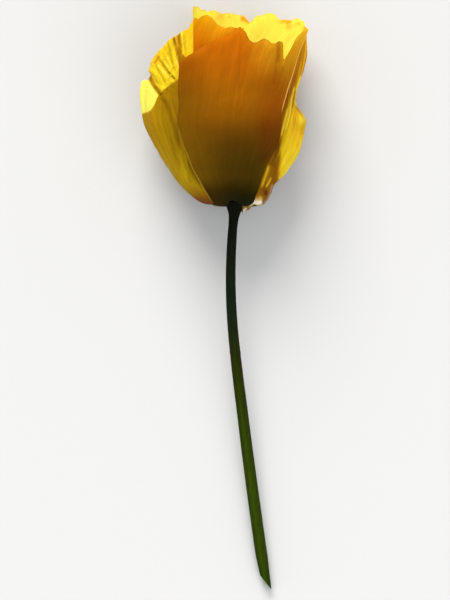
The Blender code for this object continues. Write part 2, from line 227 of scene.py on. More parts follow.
def ribs(phi, s, offset):
    offset = offset * (0.68 + 0.32 * smooth(s, 0.08, 0.22))
    side = 0.5 * (1 + np.cos(phi))
    e = 1e-3

    def rt(q):
        return curve(K_L, q) * (1 - side) + curve(K_R, q) * side, curve(K_T, q)

    r0, t0 = rt(np.clip(s - e, 0, 1))
    r1, t1 = rt(np.clip(s + e, 0, 1))
    r, t = rt(s)
    dr, dt = r1 - r0, t1 - t0
    n = np.hypot(dr, dt) + 1e-9
    return r + offset * dt / n, t - offset * dr / n


def pleats(phi, s):
    a = 0.55 * smooth(s, 0.18, 0.9)
    a = a * (1 - bump(np.degrees(phi), 270, 48) * (1 - smooth(s, 0.5, 0.75)))
    return a * (0.55 * np.sin(7 * phi + 0.5) + 0.45 * np.sin(12 * phi + 2.1))


PETALS = {
    "front_petal": {
        "first": [(0, 59), (2, 58.5), (5, 54.8), (7.75, 52.6), (10.75, 49.6), (13, 45.6), (15, 42.6),
                  (17, 41.0), (20, 41.3), (23.5, 40.0), (27.5, 34.4), (31.7, 30.2), (34.7, 28.8),
                  (37.5, 27.6), (40.3, 25.8), (43, 25.5), (50, 26)],
        "last": [(0, 133), (2, 125.5), (5, 121.8), (9, 123.6), (14, 125), (19, 125.6), (26, 122), (33, 122.2),
                 (36, 123.0), (50, 122)],
        "rim": [(20, 43.9), (26, 43.7), (31, 43.25), (34, 42.5), (37.9, 40.9), (40.9, 38.7), (43.3, 37.2),
                (44.9, 36.3), (46.5, 37.4), (49.3, 39.6), (51.5, 40.4), (53.6, 40.7), (59.5, 40.15),
                (65.5, 41.25), (72.8, 40.3), (76.1, 40.9), (78.6, 41.9), (80.8, 43.0), (83.4, 43.6),
                (84.7, 44.1), (87.5, 43.5), (90.9, 42.1), (94.4, 41.85), (97.7, 41.5), (101, 40.95),
                (103.9, 40.0), (107.2, 39.4), (110.4, 38.6), (115.6, 37.3), (119, 36.5), (121, 35.9),
                (123, 35.5), (127, 34.5)],
        "offset": LAYER,
    },
    "back_petal": {
        "first": [(0, 221), (4, 231), (10, 238), (22, 246), (34, 247), (38, 245), (44, 238.5), (50, 232.3)],
        "last": [(0, 328), (8, 326), (24, 331), (34, 335), (41, 337), (43.5, 345), (45.5, 345), (50, 340)],
        "rim": [(230, 50.0), (234.2, 49.85), (237, 49.75), (240.3, 49.0), (243.8, 48.9), (246.4, 48.4),
                (248.5, 48.7), (253.6, 48.6), (257.8, 48.0), (262, 48.15), (266.4, 48.0), (271.2, 47.6),
                (274.4, 47.55), (276.7, 47.0), (279.6, 46.1), (282, 46.15), (283.5, 46.8), (286, 47.5),
                (288.6, 47.5), (293, 48.0), (298, 47.9), (300.5, 47.35), (303.1, 46.6), (308.1, 46.5),
                (314.6, 46.3), (319.7, 46.7), (324.7, 46.2), (329.5, 45.6), (334, 45.0), (339, 44.5),
                (342, 44.1), (346, 43.7)],
        "offset": LAYER,
    },
    "left_petal": {
        "first": [(0, 121), (6, 110), (14, 100), (30, 90), (42, 82), (50, 80)],
        "last": [(0, 229), (8, 240), (20, 252), (34, 252), (50, 248)],
        "rim": [(80, 44.0), (87, 44.0), (92.8, 44.2), (97.4, 44.3), (101.5, 44.7), (104.8, 45.3), (107.6, 46.2),
                (110.2, 46.85), (112.4, 47.2), (115.2, 47.2), (117.8, 46.95), (120.9, 46.35), (123.4, 46.6),
                (125.2, 46.7), (127.6, 44.2), (131, 43.8), (137, 42.6), (143, 41.4), (149, 40.0), (155, 38.3),
                (160, 36.7), (165, 34.3), (169.5, 31.4), (174, 31.4), (180, 30.0), (188, 28.4),
                (200, 30.6), (214, 34.4), (228, 37.2), (242, 37.6), (256, 35.4)],
        "offset": 0.0,
    },
    "right_petal": {
        "first": [(0, -50), (8, -64), (20, -74), (34, -74), (50, -72)],
        "last": [(0, 64), (3, 68), (8, 72), (14, 72), (30, 71), (50, 70)],
        "rim": [(-74, 30.5), (-62, 33.4), (-48, 35.0), (-34, 36.4), (-22, 39.2), (-8, 42.2),
                (6, 43.1), (16, 42.4), (27, 39.0), (38, 35.6), (48, 34.0), (58, 33.2), (70, 30.8)],
        "offset": 0.0,
    },
}
SEED = {"front_petal": 11, "back_petal": 23, "left_petal": 37, "right_petal": 53}


# The right petal's own outline, added to its radius by height.
RIGHT_SIDE = [(0, 0.2), (1.2, 0.2), (2.5, -0.2), (4.0, -0.7), (5.4, -0.5), (7.2, 0.45), (9.5, 0.5),
              (11.2, 0.2), (13, -0.2), (17, -0.25), (19, -0.45), (22, -0.45), (24.5, -0.65),
              (27, -0.25), (29, 0.0), (31, 0.25), (33, 0.5), (36, 0.5), (38.5, 0.1), (41, -0.5),
              (43.5, -1.0)]


def foot_shape(name, deg, s):
    """How far a petal's foot stands above or droops below the common profile."""
    if name == "front_petal":
        return 1.45 * bump(deg, 94, 30) * (1 - smooth(s, 0.09, 0.30))
    if name == "left_petal":
        return -0.4 * bump(deg, 195, 60) * bump(s, 0.085, 0.07)
    if name == "right_petal":
        return -0.6 * bump(deg, 8, 44) * bump(s, 0.055, 0.035) + 0.45 * bump(deg, 0, 40) * bump(s, 0.115, 0.05)
    return 0.0 * s


def own_shape(name, phi, t, rim):
    deg = np.degrees(phi)
    out = np.zeros_like(t)
    if name == "left_petal":
        out += 0.35 * bump(deg, 186, 26) * bump(t, 27.5, 9)
        out -= 0.7 * bump(deg, 169, 9) * smooth(t, 14, 30)
    if name == "right_petal":
        out += 2.7 * bump(deg, 3, 34) * (smooth(t, 6, 14) - smooth(t, 20.5, 26.5))
        out += bump(deg, 0, 38) * curve(RIGHT_SIDE, t)
    if name == "front_petal":
        out += 0.5 * bump(rim, 0, 5)
    return out


# ================================================================ fine shape of each petal
# Creases as paths of (X, T), in millimetres.
LEFT_CREASES = [
    ([(-11.45, 43.0), (-11.3, 41.6), (-11.15, 40.0), (-11.05, 38.6), (-10.9, 37.4)], 0.52, 0.90),
    ([(-12.9, 42.2), (-12.5, 41.2), (-12.1, 39.6), (-11.8, 38.2), (-11.4, 36.6), (-11.1, 35.0)], 0.46, 0.85),
    ([(-16.2, 36.3), (-15.3, 34.9), (-14.1, 33.3), (-13.3, 32.4), (-12.4, 31.4), (-11.8, 31.0)], 0.27, 0.66),
    ([(-14.6, 33.6), (-13.8, 32.2), (-12.9, 31.0)], 0.20, 0.25),
    ([(-19.0, 33.5), (-18.65, 32.1), (-18.25, 30.8), (-17.65, 29.7), (-17.05, 28.9), (-16.35, 28.0), (-15.6, 26.9)], 0.62, 0.95),
    ([(-17.0, 28.2), (-16.0, 26.8), (-14.6, 25.4), (-13.9, 23.5), (-13.2, 21.4), (-12.3, 18.9), (-11.3, 15.2),
      (-9.2, 11.2), (-6.7, 6.4), (-4.9, 3.2)], 0.62, 0.40),
    ([(-13.0, 26.6), (-12.2, 23.4), (-11.6, 21.0)], 0.24, 0.26),
    ([(-13.6, 17.2), (-12.3, 12.6), (-10.4, 8.6), (-8.0, 5.0)], 0.24, 0.22),
    ([(-10.9, 16.2), (-8.6, 11.6), (-6.2, 6.6), (-4.4, 3.2)], 0.22, 0.26),
    ([(-14.4, 41.2), (-13.6, 38.6), (-13.0, 35.6), (-12.2, 33.0)], 0.28, 0.34),
    ([(-15.6, 38.6), (-14.6, 36.4), (-13.6, 34.2)], 0.20, 0.30),
    ([(-17.6, 36.0), (-16.6, 33.8), (-15.2, 31.4), (-14.4, 30.0)], 0.30, 0.36),
    ([(-18.2, 33.4), (-17.0, 31.0), (-15.8, 29.2)], 0.26, 0.26),
    ([(-10.2, 42.6), (-10.0, 40.6), (-9.6, 38.4)], 0.24, 0.22),
    ([(-17.5, 35.1), (-16.8, 36.1), (-16.2, 37.2)], 0.34, 0.42),
]
LEFT_GATHER = (-9.0, 27.25)
FRONT_CREASES = [
    ([(13.6, 42.0), (13.65, 39.5), (13.6, 37.0), (13.4, 34.4)], 0.48, 0.55),
    ([(13.3, 35.5), (12.9, 32.5), (12.2, 29.0)], 0.45, 0.16),
    ([(4.2, 44.6), (4.1, 41.0), (3.9, 34.0), (3.7, 26.0)], 0.30, 0.14),
]


def fine_shape(name, g):
    """Radial detail in mm that the CAD solid leaves out."""
    seed = SEED[name]
    u, along, rim, edge, width = g["u"], g["along"], g["rim"], g["margin"], g["width"]
    deg, t, X, s = g["deg"], g["t"], g["X"], g["s"]
    grow = smooth(along, 3, 14)
    # lengthwise veins that fork towards the rim
    few = noise(u * 17 + 0.5 * noise(u * 5, along / 16, seed), along / 34, seed + 1)
    many = noise(u * 39, along / 26, seed + 2)
    fine = noise(u * 84, along / 20, seed + 3)
    d = grow * (0.13 * few + 0.07 * many * smooth(s, 0.15, 0.5) + 0.035 * fine * smooth(s, 0.3, 0.7))
    # soft crumples, like crepe paper
    d += 0.16 * grow * noise(u * width / 5.5, along / 7.0, seed + 4)
    d += 0.07 * grow * noise(u * width / 2.1, along / 3.4, seed + 5)
    # ruffled rim
    d += 0.42 * noise(u * width / 3.6, along / 30, seed + 6) * np.exp(-rim / 3.0)
    d += 0.20 * noise(u * width / 1.5, along / 9, seed + 7) * np.exp(-rim / 1.3)
    if name == "back_petal":
        d = d * 0.62
    if name == "front_petal":
        d = d * 0.80
    if name == "left_petal":
        free = smooth(deg, 122, 128) * (1 - smooth(deg, 205, 222))
        for path, w, deep in LEFT_CREASES:
            d -= free * deep * crease(X, t, path, w, 0.12)
            d += free * 0.35 * deep * crease(X, t, path, 2.1 * w, 0.12)
        # pleats that gather towards one point
        gx, gt = X - LEFT_GATHER[0], t - LEFT_GATHER[1]
        far, ang = np.hypot(gx, gt), np.degrees(np.arctan2(gt, -gx))
        fan = smooth(far, 2.0, 6.0) * smooth(ang, 2, 16) * (1 - smooth(ang, 96, 112))
        d += free * fan * (0.26 * noise(ang / 7.5, far / 14, seed + 8)
                           + 0.12 * noise(ang / 3.1, far / 8, seed + 9))
    if name == "right_petal":
        free = smooth(deg, -24, -16) * (1 - smooth(deg, 18, 26))
        d += free * smooth(t, 3, 8) * (0.34 * noise(u * 30, along / 30, seed + 8)
                                       + 0.16 * noise(u * 62, along / 18, seed + 9))
    if name == "front_petal":
        for path, w, deep in FRONT_CREASES:
            d -= deep * crease(X, t, path, w, 0.2)
    # pressed smooth where the cup rests
    d = d * (1 - 0.85 * bump(deg % 360, 270, 60) * (1 - smooth(s, 0.45, 0.75)))
    return d


def lip(deg):
    """The few degrees of the right petal's foot that droop beside the receptacle."""
    return smooth(deg, -46, -20) * (1 - smooth(deg, 6, 34))


def petal_grid(name, nu, nv):
    """Middle surface of a petal and the fields that its shape and colour use."""
    p, seed = PETALS[name], SEED[name]
    u = np.linspace(0, 1, nu + 1)
    v = np.linspace(0, 1, nv + 1) ** 1.06
    a, b = curve(p["first"], 45.0), curve(p["last"], 45.0)
    deg_top = a + (b - a) * u
    for _ in range(6):
        t_top = curve(p["rim"], deg_top)
        deg_top = curve(p["first"], t_top) * (1 - u) + curve(p["last"], t_top) * u
    t_top = curve(p["rim"], deg_top)
    # small scallops of the rim
    w = abs(b - a) * math.pi / 180 * 19
    small = 0.45 if name in ("front_petal", "back_petal") else 1.0
    t_top = t_top + small * (0.22 * noise(u * w / 1.9, 0.5, seed + 20) + 0.12 * noise(u * w / 0.8, 0.5, seed + 21))
    s_top = height_to_s(t_top)
    s = v[:, None] * s_top[None, :]
    t_here = curve(K_T, s)
    a0, a1 = curve(p["first"], t_here), curve(p["last"], t_here)
    wave = 0.5 if name == "front_petal" else 1.0
    along = s * PROFILE_LEN
    a0 = a0 + wave * noise(along / 4.0, 0.5, seed + 22)
    a1 = a1 + wave * noise(along / 4.0, 0.5, seed + 23)
    U = np.broadcast_to(u[None, :], s.shape)
    deg = a0 * (1 - U) + a1 * U
    phi = np.radians(deg)
    r, t = ribs(phi, s, p["offset"])
    t = t + foot_shape(name, deg, s)
    if name == "right_petal":
        # a small lip of its foot droops beside the receptacle
        t = t - 2.5 * lip(deg) * np.exp(-(s / 0.020) ** 2)
    rim = (s_top[None, :] - s) * PROFILE_LEN
    width = np.radians(a1 - a0) * r
    margin = np.minimum(U, 1 - U) * width
    r = r + pleats(phi, s) + own_shape(name, phi, t, rim)
    X = axis_x(t) + r * np.cos(phi)
    g = dict(u=U, s=s, t=t, deg=deg, phi=phi, along=along, rim=rim, width=width,
             margin=margin, X=X)
    r = r + fine_shape(name, g)
    g["mid"] = place(r, phi, t)
    g["X"] = g["mid"][..., 0]
    g["T"] = g["mid"][..., 1] - CUP_Y
    g["edge"] = np.minimum(rim, margin)
    return g


# ================================================================ mesh building
def make_mesh(name, verts, faces, attributes=None, uvs=None, angle=55):
    """faces: (n, 4) or (n, 3) index arrays in a list."""
    mesh = bpy.data.meshes.new(name)
    verts = np.asarray(verts, np.float32)
    mesh.vertices.add(len(verts))
    mesh.vertices.foreach_set("co", (verts * MM).ravel())
    loops = np.concatenate([f.ravel() for f in faces]).astype(np.int32)
    counts = np.concatenate([np.full(len(f), f.shape[1]) for f in faces])
    starts = np.concatenate([[0], np.cumsum(counts)[:-1]]).astype(np.int32)
    mesh.loops.add(len(loops))
    mesh.loops.foreach_set("vertex_index", loops)
    mesh.polygons.add(len(counts))
    mesh.polygons.foreach_set("loop_start", starts)
    mesh.update(calc_edges=True)
    for key, values in (attributes or {}).items():
        at = mesh.attributes.new(key, "FLOAT", "POINT")
        at.data.foreach_set("value", np.asarray(values, np.float32).ravel())
    for key, values in (uvs or {}).items():
        layer = mesh.uv_layers.new(name=key)
        layer.data.foreach_set("uv", np.asarray(values, np.float32).ravel())
    mesh.validate()
    mesh.shade_smooth()
    mesh.set_sharp_from_angle(angle=math.radians(angle))
    obj = bpy.data.objects.new(name, mesh)
    scene.collection.objects.link(obj)
    return obj


def quads(rows, cols, start, flip, wrap=False):
    i = np.arange(rows - 1)[:, None]
    j = np.arange(cols if wrap else cols - 1)[None, :]
    jn = (j + 1) % cols
    a, b = start + i * cols + j, start + i * cols + jn
    c, d = b + cols, a + cols
    a, b, c, d = np.broadcast_arrays(a, b, c, d)
    q = np.stack([a, b, c, d], -1).reshape(-1, 4)
    return q[:, ::-1] if flip else q


def finish_piece(obj, node, material):
    obj.data.materials.append(material)
    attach(obj, "root")
    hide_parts(node)


def soft_floor(z, rest, k=0.25):
    d = z - rest
    return rest + 0.5 * (d + np.sqrt(d * d + k * k))


def petal(name, nu, nv, material):
    g = petal_grid(name, nu, nv)
    mid, seed = g["mid"], SEED[name]
    du, dv = np.gradient(mid, axis=1), np.gradient(mid, axis=0)
    n = np.cross(du, dv)
    n /= np.linalg.norm(n, axis=2, keepdims=True) + 1e-12
    centre = np.stack([axis_x(g["T"]), mid[..., 1], axis_z(g["T"])], -1)
    if ((mid - centre) * n).sum(-1)[mid.shape[0] // 2:].mean() < 0:
        n = -n
    thick = (0.07 + 0.13 * smooth(g["edge"], 0.0, 1.2) + 0.16 * (1 - smooth(g["along"], 2, 16)))[..., None]
    out, inn = mid + n * thick / 2, mid - n * thick / 2
    inner_whorl = PETALS[name]["offset"] == 0
    rest = INNER_REST if inner_whorl else 0.0
    out[..., 2] = soft_floor(out[..., 2], rest)
    inn[..., 2] = soft_floor(inn[..., 2], rest + thick[..., 0])
    # the foot runs in to the receptacle
    foot_r, foot_t = (2.02, 1.52) if inner_whorl else (2.27, 0.62)
    if name == "front_petal":
        foot_t = 1.40
    foot_t = np.full(nu + 1, foot_t)
    if name == "right_petal":
        foot_t = foot_t - 3.3 * lip(g["deg"][0])
    foot = place(np.full(nu + 1, foot_r), g["phi"][0], foot_t, depth=1.0)
    steps = 5
    q = (np.arange(steps) / steps)[:, None, None]
    push = n[0][None] * thick[0][None] / 2
    foot_rows = lambda sign, face: np.concatenate(
        [(foot[None] + sign * push) * (1 - q) + face[0][None] * q, face])
    out, inn = foot_rows(1, out), foot_rows(-1, inn)
    pad = lambda f, value=None: np.concatenate(
        [np.repeat((f[:1] if value is None else np.full_like(f[:1], value)), steps, 0), f])
    rows, cols = out.shape[:2]
    k = rows * cols
    verts = np.concatenate([out.reshape(-1, 3), inn.reshape(-1, 3)])
    ring = [np.arange(cols), np.arange(1, rows) * cols + cols - 1,
            (rows - 1) * cols + np.arange(cols - 2, -1, -1), np.arange(rows - 2, 0, -1) * cols]
    ring = np.concatenate(ring)
    nxt = np.roll(ring, -1)
    band = np.stack([nxt, ring, k + ring, k + nxt], -1)
    faces = [quads(rows, cols, 0, False), quads(rows, cols, k, True), band]

    # colour fields
    along = pad(g["along"])
    fields = paint(name, {key: pad(g[key]) for key in
                          ("u", "s", "t", "deg", "along", "rim", "width", "margin", "edge")},
                   out)
    fields_in = paint_inside(name, {key: pad(g[key]) for key in
                                    ("u", "s", "t", "deg", "along", "rim", "width", "margin", "edge", "X")})
    attributes = {}
    for key in fields:
        attributes[key] = np.concatenate([fields[key].ravel(), fields_in[key].ravel()])
    attributes["inside"] = np.concatenate([np.zeros(k), np.ones(k)])

    # texture coordinates: "petal" in mm across and along, "OFBake" packed
    across = (pad(g["u"]) - 0.5) * 44
    lay_u = np.concatenate([across.ravel(), across.ravel() + 70])
    lay_v = np.concatenate([along.ravel(), along.ravel()])
    row = np.linspace(0, 1, rows)[:, None] * np.ones((1, cols))
    col = np.linspace(0, 1, cols)[None, :] * np.ones((rows, 1))
    bu = np.concatenate([(0.006 + 0.484 * col).ravel(), (0.510 + 0.484 * col).ravel()])
    bv = np.concatenate([(0.006 + 0.965 * row).ravel()] * 2)
    loops = np.concatenate([f.ravel() for f in faces])
    uv = np.stack([lay_u[loops], lay_v[loops]], -1)
    bake = np.stack([bu[loops], bv[loops]], -1)
    m = len(ring)
    a = 0.006 + 0.986 * np.arange(m) / m
    b = 0.006 + 0.986 * (np.arange(m) + 1) / m
    lo, hi = np.full(m, 0.981), np.full(m, 0.994)
    strip = np.stack([np.stack([b, lo], -1), np.stack([a, lo], -1), np.stack([a, hi], -1),
                      np.stack([b, hi], -1)], 1).reshape(-1, 2)
    bake[-4 * m:] = strip
    obj = make_mesh(name + "_blade", verts, faces, attributes, {"petal": uv, "OFBake": bake}, 60)
    # outside means away from the axis
    ref = n[n.shape[0] // 2, n.shape[1] // 2]
    mid_face = faces[0].reshape(rows - 1, cols - 1, 4)[rows // 2, cols // 2]
    co = verts[mid_face]
    nn = np.cross(co[1] - co[0], co[2] - co[0])
    if (nn * ref).sum() < 0:
        obj.data.flip_normals()
    finish_piece(obj, name, material)
    return obj


# ================================================================ colour fields
# Where the painted light on the left petal begins, T by X; below this line it is painted in shade.
LEFT_LIGHT = [(-24, 22.4), (-20.5, 22.9), (-18.3, 23.8), (-17.4, 25.2), (-16.7, 26.9), (-16.0, 27.8),
              (-15.5, 28.4), (-14.55, 29.2), (-13.7, 29.8), (-12.6, 30.6), (-11.8, 31.2), (-10.8, 31.9),
              (-10.2, 34.0), (-9.9, 36.0), (-8.4, 36.6), (30, 36.8)]
# Colour fields. Most paint light and shade into the colour: lit and shaded zones, light through two layers, highlights,
# a paler rim, shade along creases and round the foot, and a gain of lighter and darker zones that also carries the
# veins' own variation; the others are warm, olive and red tints.
FIELDS = ("h", "lit", "orange", "bright", "amber", "dark", "olive", "red", "edge", "eye", "glow", "cream", "tone")


def paint(name, g, face):
    """Colour fields of a petal's outer face, each 0 to 1."""
    X, T = face[..., 0], face[..., 1] - CUP_Y
    seed = SEED[name]
    zero = np.zeros_like(X)
    f = {key: zero.copy() for key in FIELDS}
    f["h"] = np.clip(T / 50, 0, 1)
    f["edge"] = g["edge"]
    tone = zero + 1.0
    soft = 0.5 * noise(X / 1.4, T / 2.6, seed + 30)
    u = g["u"]
    side_edge = smooth(g["rim"] - g["margin"], -0.3, 0.3)
    if name == "left_petal":
        # painted light: above the line the petal is painted lit yellow, below it in shade
        gap = T - line(LEFT_LIGHT, X) + 0.35 * soft
        f["lit"] = smooth(gap, -0.35, 0.35)
        # painted light: an orange patch where light shone through two layers of petal
        f["orange"] = smooth(X, -7.9, -7.55) * smooth(T, 34, 36)
        # painted highlight: a pale patch low on the lit part
        side = (X + 19) * -0.852 + (T - 32.6) * -0.524
        f["bright"] = f["lit"] * smooth(side, 0.25, 0.8) * (1 - smooth(T, 31.5, 33))
        # painted shade: darker along the creases, more so where a crease is deeper
        for path, w, deep in LEFT_CREASES:
            f["dark"] = np.maximum(f["dark"], min(1, 1.1 * deep) * crease(X, T, path, 0.85 * w, 0.12))
        # painted shade in the small wrinkles of the lit part, fanning out from one point
        gx, gt = X - LEFT_GATHER[0], T - LEFT_GATHER[1]
        far, ang = np.hypot(gx, gt), np.degrees(np.arctan2(gt, -gx))
        fan = smooth(far, 2.0, 6.0) * smooth(ang, 2, 16) * (1 - smooth(ang, 96, 112)) * (1 - f["orange"])
        wrinkle = smooth(noise(ang / 4.2, far / 12, seed + 31), 0.1, 0.8)
        wrinkle = wrinkle + 0.7 * smooth(noise(ang / 1.9, far / 7, seed + 33), 0.1, 0.8)
        wrinkle = wrinkle + 0.7 * smooth(noise(X / 0.55, T / 1.6, seed + 35), 0.1, 0.8)
        f["dark"] = np.clip(f["dark"] + fan * f["lit"] * (1 - f["bright"]) * 0.27 * wrinkle, 0, 1)
        # the pleat runs down into its own shade before it passes behind the front petal
        west = line([(34.0, -11.1), (35.4, -11.55), (37.8, -12.0), (39.4, -12.35)], T)
        east = line([(36.4, -9.0), (36.8, -9.5), (37.3, -10.0), (38.0, -10.5), (39.4, -10.6)], T)
        behind = smooth(X - west, -0.1, 0.25) * smooth(east - X, -0.1, 0.25) * (1 - smooth(T, 38.6, 40.4))
        f["lit"] = f["lit"] * (1 - behind)
        f["dark"] = f["dark"] * (1 - 0.8 * behind)
        # painted highlights between the wrinkles of the lit part
        shine = smooth(noise(ang / 2.6, far / 6, seed + 43) + 0.5 * noise(X / 0.6, T / 1.1, seed + 45), 0.2, 1.0)
        f["bright"] = np.maximum(f["bright"], 0.50 * fan * f["lit"] * shine * (1 - f["dark"]) * (1 - f["orange"]))
        # warm streak at the pleat's shoulder, and painted warm highlights beside the creases
        grain = 0.7 + 0.6 * noise(X / 0.45 + T / 1.4, T / 1.1, seed + 46)
        f["amber"] = (0.95 * crease(X, T, [(-17.5, 35.1), (-16.8, 36.1), (-16.1, 37.3)], 0.62, 0.15)
                      + 0.55 * crease(X, T, [(-12.1, 42.3), (-11.9, 40.8), (-11.6, 39.4)], 0.26, 0.2)
                      + 0.45 * crease(X, T, [(-10.9, 41.9), (-10.7, 40.2), (-10.6, 38.8)], 0.24, 0.2)
                      + 0.50 * crease(X, T, [(-18.4, 33.0), (-17.9, 31.2), (-17.1, 29.6), (-16.3, 28.4)], 0.30, 0.15)
                      + 0.35 * crease(X, T, [(-8.4, 43.6), (-8.3, 41.4), (-8.4, 38.8)], 0.28, 0.2)) * grain
        f["amber"] = np.clip(f["amber"], 0, 1) * f["lit"] * (1 - f["orange"])
        # painted light: the shaded part lighter towards its outline, the lit part a little darker, the orange patch
        # lighter to the right
        outline = line([(0, -4), (2, -6.5), (4, -9), (6.25, -11.75), (8.75, -14), (13.75, -17), (18.75, -19.2),
                        (25, -20.5)], T)
        tone = tone + 0.38 * (1 - smooth(X - outline, 2.5, 5.5)) * (1 - f["lit"]) - 0.10 * f["lit"] * (1 - f["bright"])
        tone = tone + f["orange"] * (0.13 + 0.10 * smooth(X, -6, -2))
        f["orange"] = f["orange"] * (1 - 0.10 * smooth(X, -6, -2))
        vein = noise(u * 46, g["along"] / 34, seed + 36) + 0.7 * noise(u * 90, g["along"] / 20, seed + 37)
        tone = tone + 0.13 * vein * (1 - f["lit"]) * smooth(T, 2, 6)
        # painted shade: darker low down near the foot
        tone = tone - 0.30 * (1 - smooth(T, 2.0, 6.5)) * smooth(X, -9.5, -6)
        fleck = smooth(noise(X / 1.1, T / 2.2, seed + 38) + 0.5 * noise(X / 0.5, T / 0.9, seed + 39), 0.25, 0.9)
        f["red"] = np.maximum(f["red"], 0.42 * fleck * (1 - smooth(X - outline, 2.0, 4.5)) * (1 - f["lit"]) * smooth(T, 5, 9))
        f["olive"] = 0.42 * smooth(X, -16, -8) * (1 - f["lit"]) * smooth(T, 2, 8) * (1 - behind)
        f["red"] = 0.8 * (1 - smooth(T, 1.0, 3.6))
        # painted highlight along the rim
        f["glow"] = 0.35 * (1 - f["orange"])
    elif name == "front_petal":
        f["olive"] = np.exp(-((1 - u) * g["width"] / 6.5) ** 1.5) * smooth(T, 3, 9) * (1 - smooth(T, 24, 33))
        f["red"] = 0.60 * smooth(X, 5.5, 12.0) * smooth(T, 9, 16) * (1 - smooth(T, 25, 33))
        # painted shade along the creases
        for path, w, deep in FRONT_CREASES:
            f["dark"] = np.maximum(f["dark"], 0.75 * deep * crease(X, T, path, 1.1 * w, 0.25))
        # painted light: a lit line beside the right crease and lit, yellower patches high on the petal
        f["lit"] = np.maximum(0.42 * crease(X, T, [(15.0, 39.0), (15.1, 36.5), (14.8, 33.5)], 0.6, 0.3),
                              0.30 * smooth(X, 4, 12) * smooth(T, 30, 39)
                              + 0.10 * smooth(X, 13, 16) * smooth(T, 24, 32))
        f["lit"] = f["lit"] + 0.12 * smooth(X, 8, 12) * smooth(T, 38, 41) + 0.10 * bump(X, -7, 4) * smooth(T, 35, 40)
        # the scalloped rim is a little darker, except at the left
        f["olive"] = np.maximum(f["olive"], 0.26 * smooth(X, 5, 6) * (1 - smooth(g["rim"], 0.10, 0.60)) * (1 - smooth(X, 17.5, 19)))
        # painted light and shade: broad lighter and darker zones over the petal
        tone = tone - 0.28 * smooth(-X, 1, 9) * bump(T, 31, 11) + 0.24 * smooth(-X, -2, 5) * (1 - smooth(T, 15, 22))
        tone = tone + 0.34 * smooth(X, 6, 11) * bump(T, 14, 7.5)
        tone = tone - 0.20 * bump(T, 42, 5) * bump(X, -6, 6) - 0.12 * bump(T, 41, 4) * bump(X, 9, 5)
        # painted shade: near black round the foot of the petal
        far = np.hypot((X - 4.8) / np.where(X < 4.8, 1.0, 1.15), T)
        f["eye"] = line([(0, 1.0), (2.5, 0.86), (5, 0.60), (7.5, 0.42), (11, 0.28), (15, 0.18), (22, 0)], far)
        # painted highlight along the left margin low down and the right margin high up
        left = 0.80 * (1 - smooth(T, 17.5, 20.0)) * smooth(T, 0.3, 1.5)
        right = 1.15 * smooth(T, 22.5, 25.0)
        f["glow"] = np.where(u > 0.5, left, right) * side_edge
        f["edge"] = np.where(u > 0.5, g["edge"], 0.72 * g["edge"])
        f["red"] = np.maximum(f["red"], 0.75 * smooth(X, 7, 10) * smooth(T, 8, 12) * (1 - smooth(T, 20, 27)))
        # painted light: lighter towards the right margin low down
        tone = tone + 0.08 * smooth(X, 9.5, 12) * smooth(T, 9, 13) * (1 - smooth(T, 24, 30))
        tone = tone + 0.36 * np.exp(-(g["margin"] / 1.7) ** 2) * (u < 0.5) * smooth(T, 2, 4) * (1 - smooth(T, 11, 16))
    elif name == "right_petal":
        # painted light: the lobe is painted lit, the strip beside the front petal in shade
        lobe = smooth(T, 5.5, 7.5) * (1 - smooth(T, 24, 26.5))
        inner_x = line([(3, 12.0), (7.25, 13.4), (8.75, 13.55), (11.25, 13.7), (13.75, 13.85), (16.75, 14.15),
                        (19.2, 14.7), (21.75, 15.2), (23.75, 15.6), (26.25, 16.2), (30, 17.3), (34, 18.2), (42, 20.4)], T)
        into = X - inner_x + 0.25 * soft
        f["lit"] = np.clip(lobe * smooth(into, -0.3, 1.0 + 1.2 * smooth(T, 13, 18)), 0, 1)
        # painted light in lengthwise streaks
        streak = noise(u * 34, g["along"] / 24, seed + 32) + 0.6 * noise(u * 70, g["along"] / 14, seed + 34)
        f["lit"] = np.clip(f["lit"] + 0.34 * streak * smooth(T, 9, 13), 0, 1)
        band = smooth(inner_x - X, -0.1, 0.8) * smooth(T, 13, 17) * (1 - smooth(T, 27, 31))
        # painted light: lit lines along the folds near the right edge
        for path, w, k in (
            ([(17.6, 28.4), (16.8, 26.2), (16.2, 23.75), (15.6, 22.0), (14.9, 19.4), (14.25, 16.8)], 0.22, 1.0),
            ([(16.7, 24.6), (16.1, 21.8), (15.4, 19.2), (14.9, 17.2)], 0.17, 0.9),
            ([(17.7, 27.0), (17.3, 24.2), (16.7, 21.0), (16.3, 18.0)], 0.20, 0.7),
            ([(19.4, 36.4), (18.9, 33.5), (18.3, 30.8), (17.7, 28.2)], 0.20, 0.65),
            ([(20.75, 43.2), (20.62, 40.6), (20.42, 38.9), (20.15, 36.7), (19.8, 34.7), (19.2, 32.5), (18.8, 31.2),
              (18.15, 29.0), (17.95, 27.0)], 0.20, 0.95),
        ):
            f["lit"] = np.maximum(f["lit"], k * crease(X, T, path, w, 0.1))
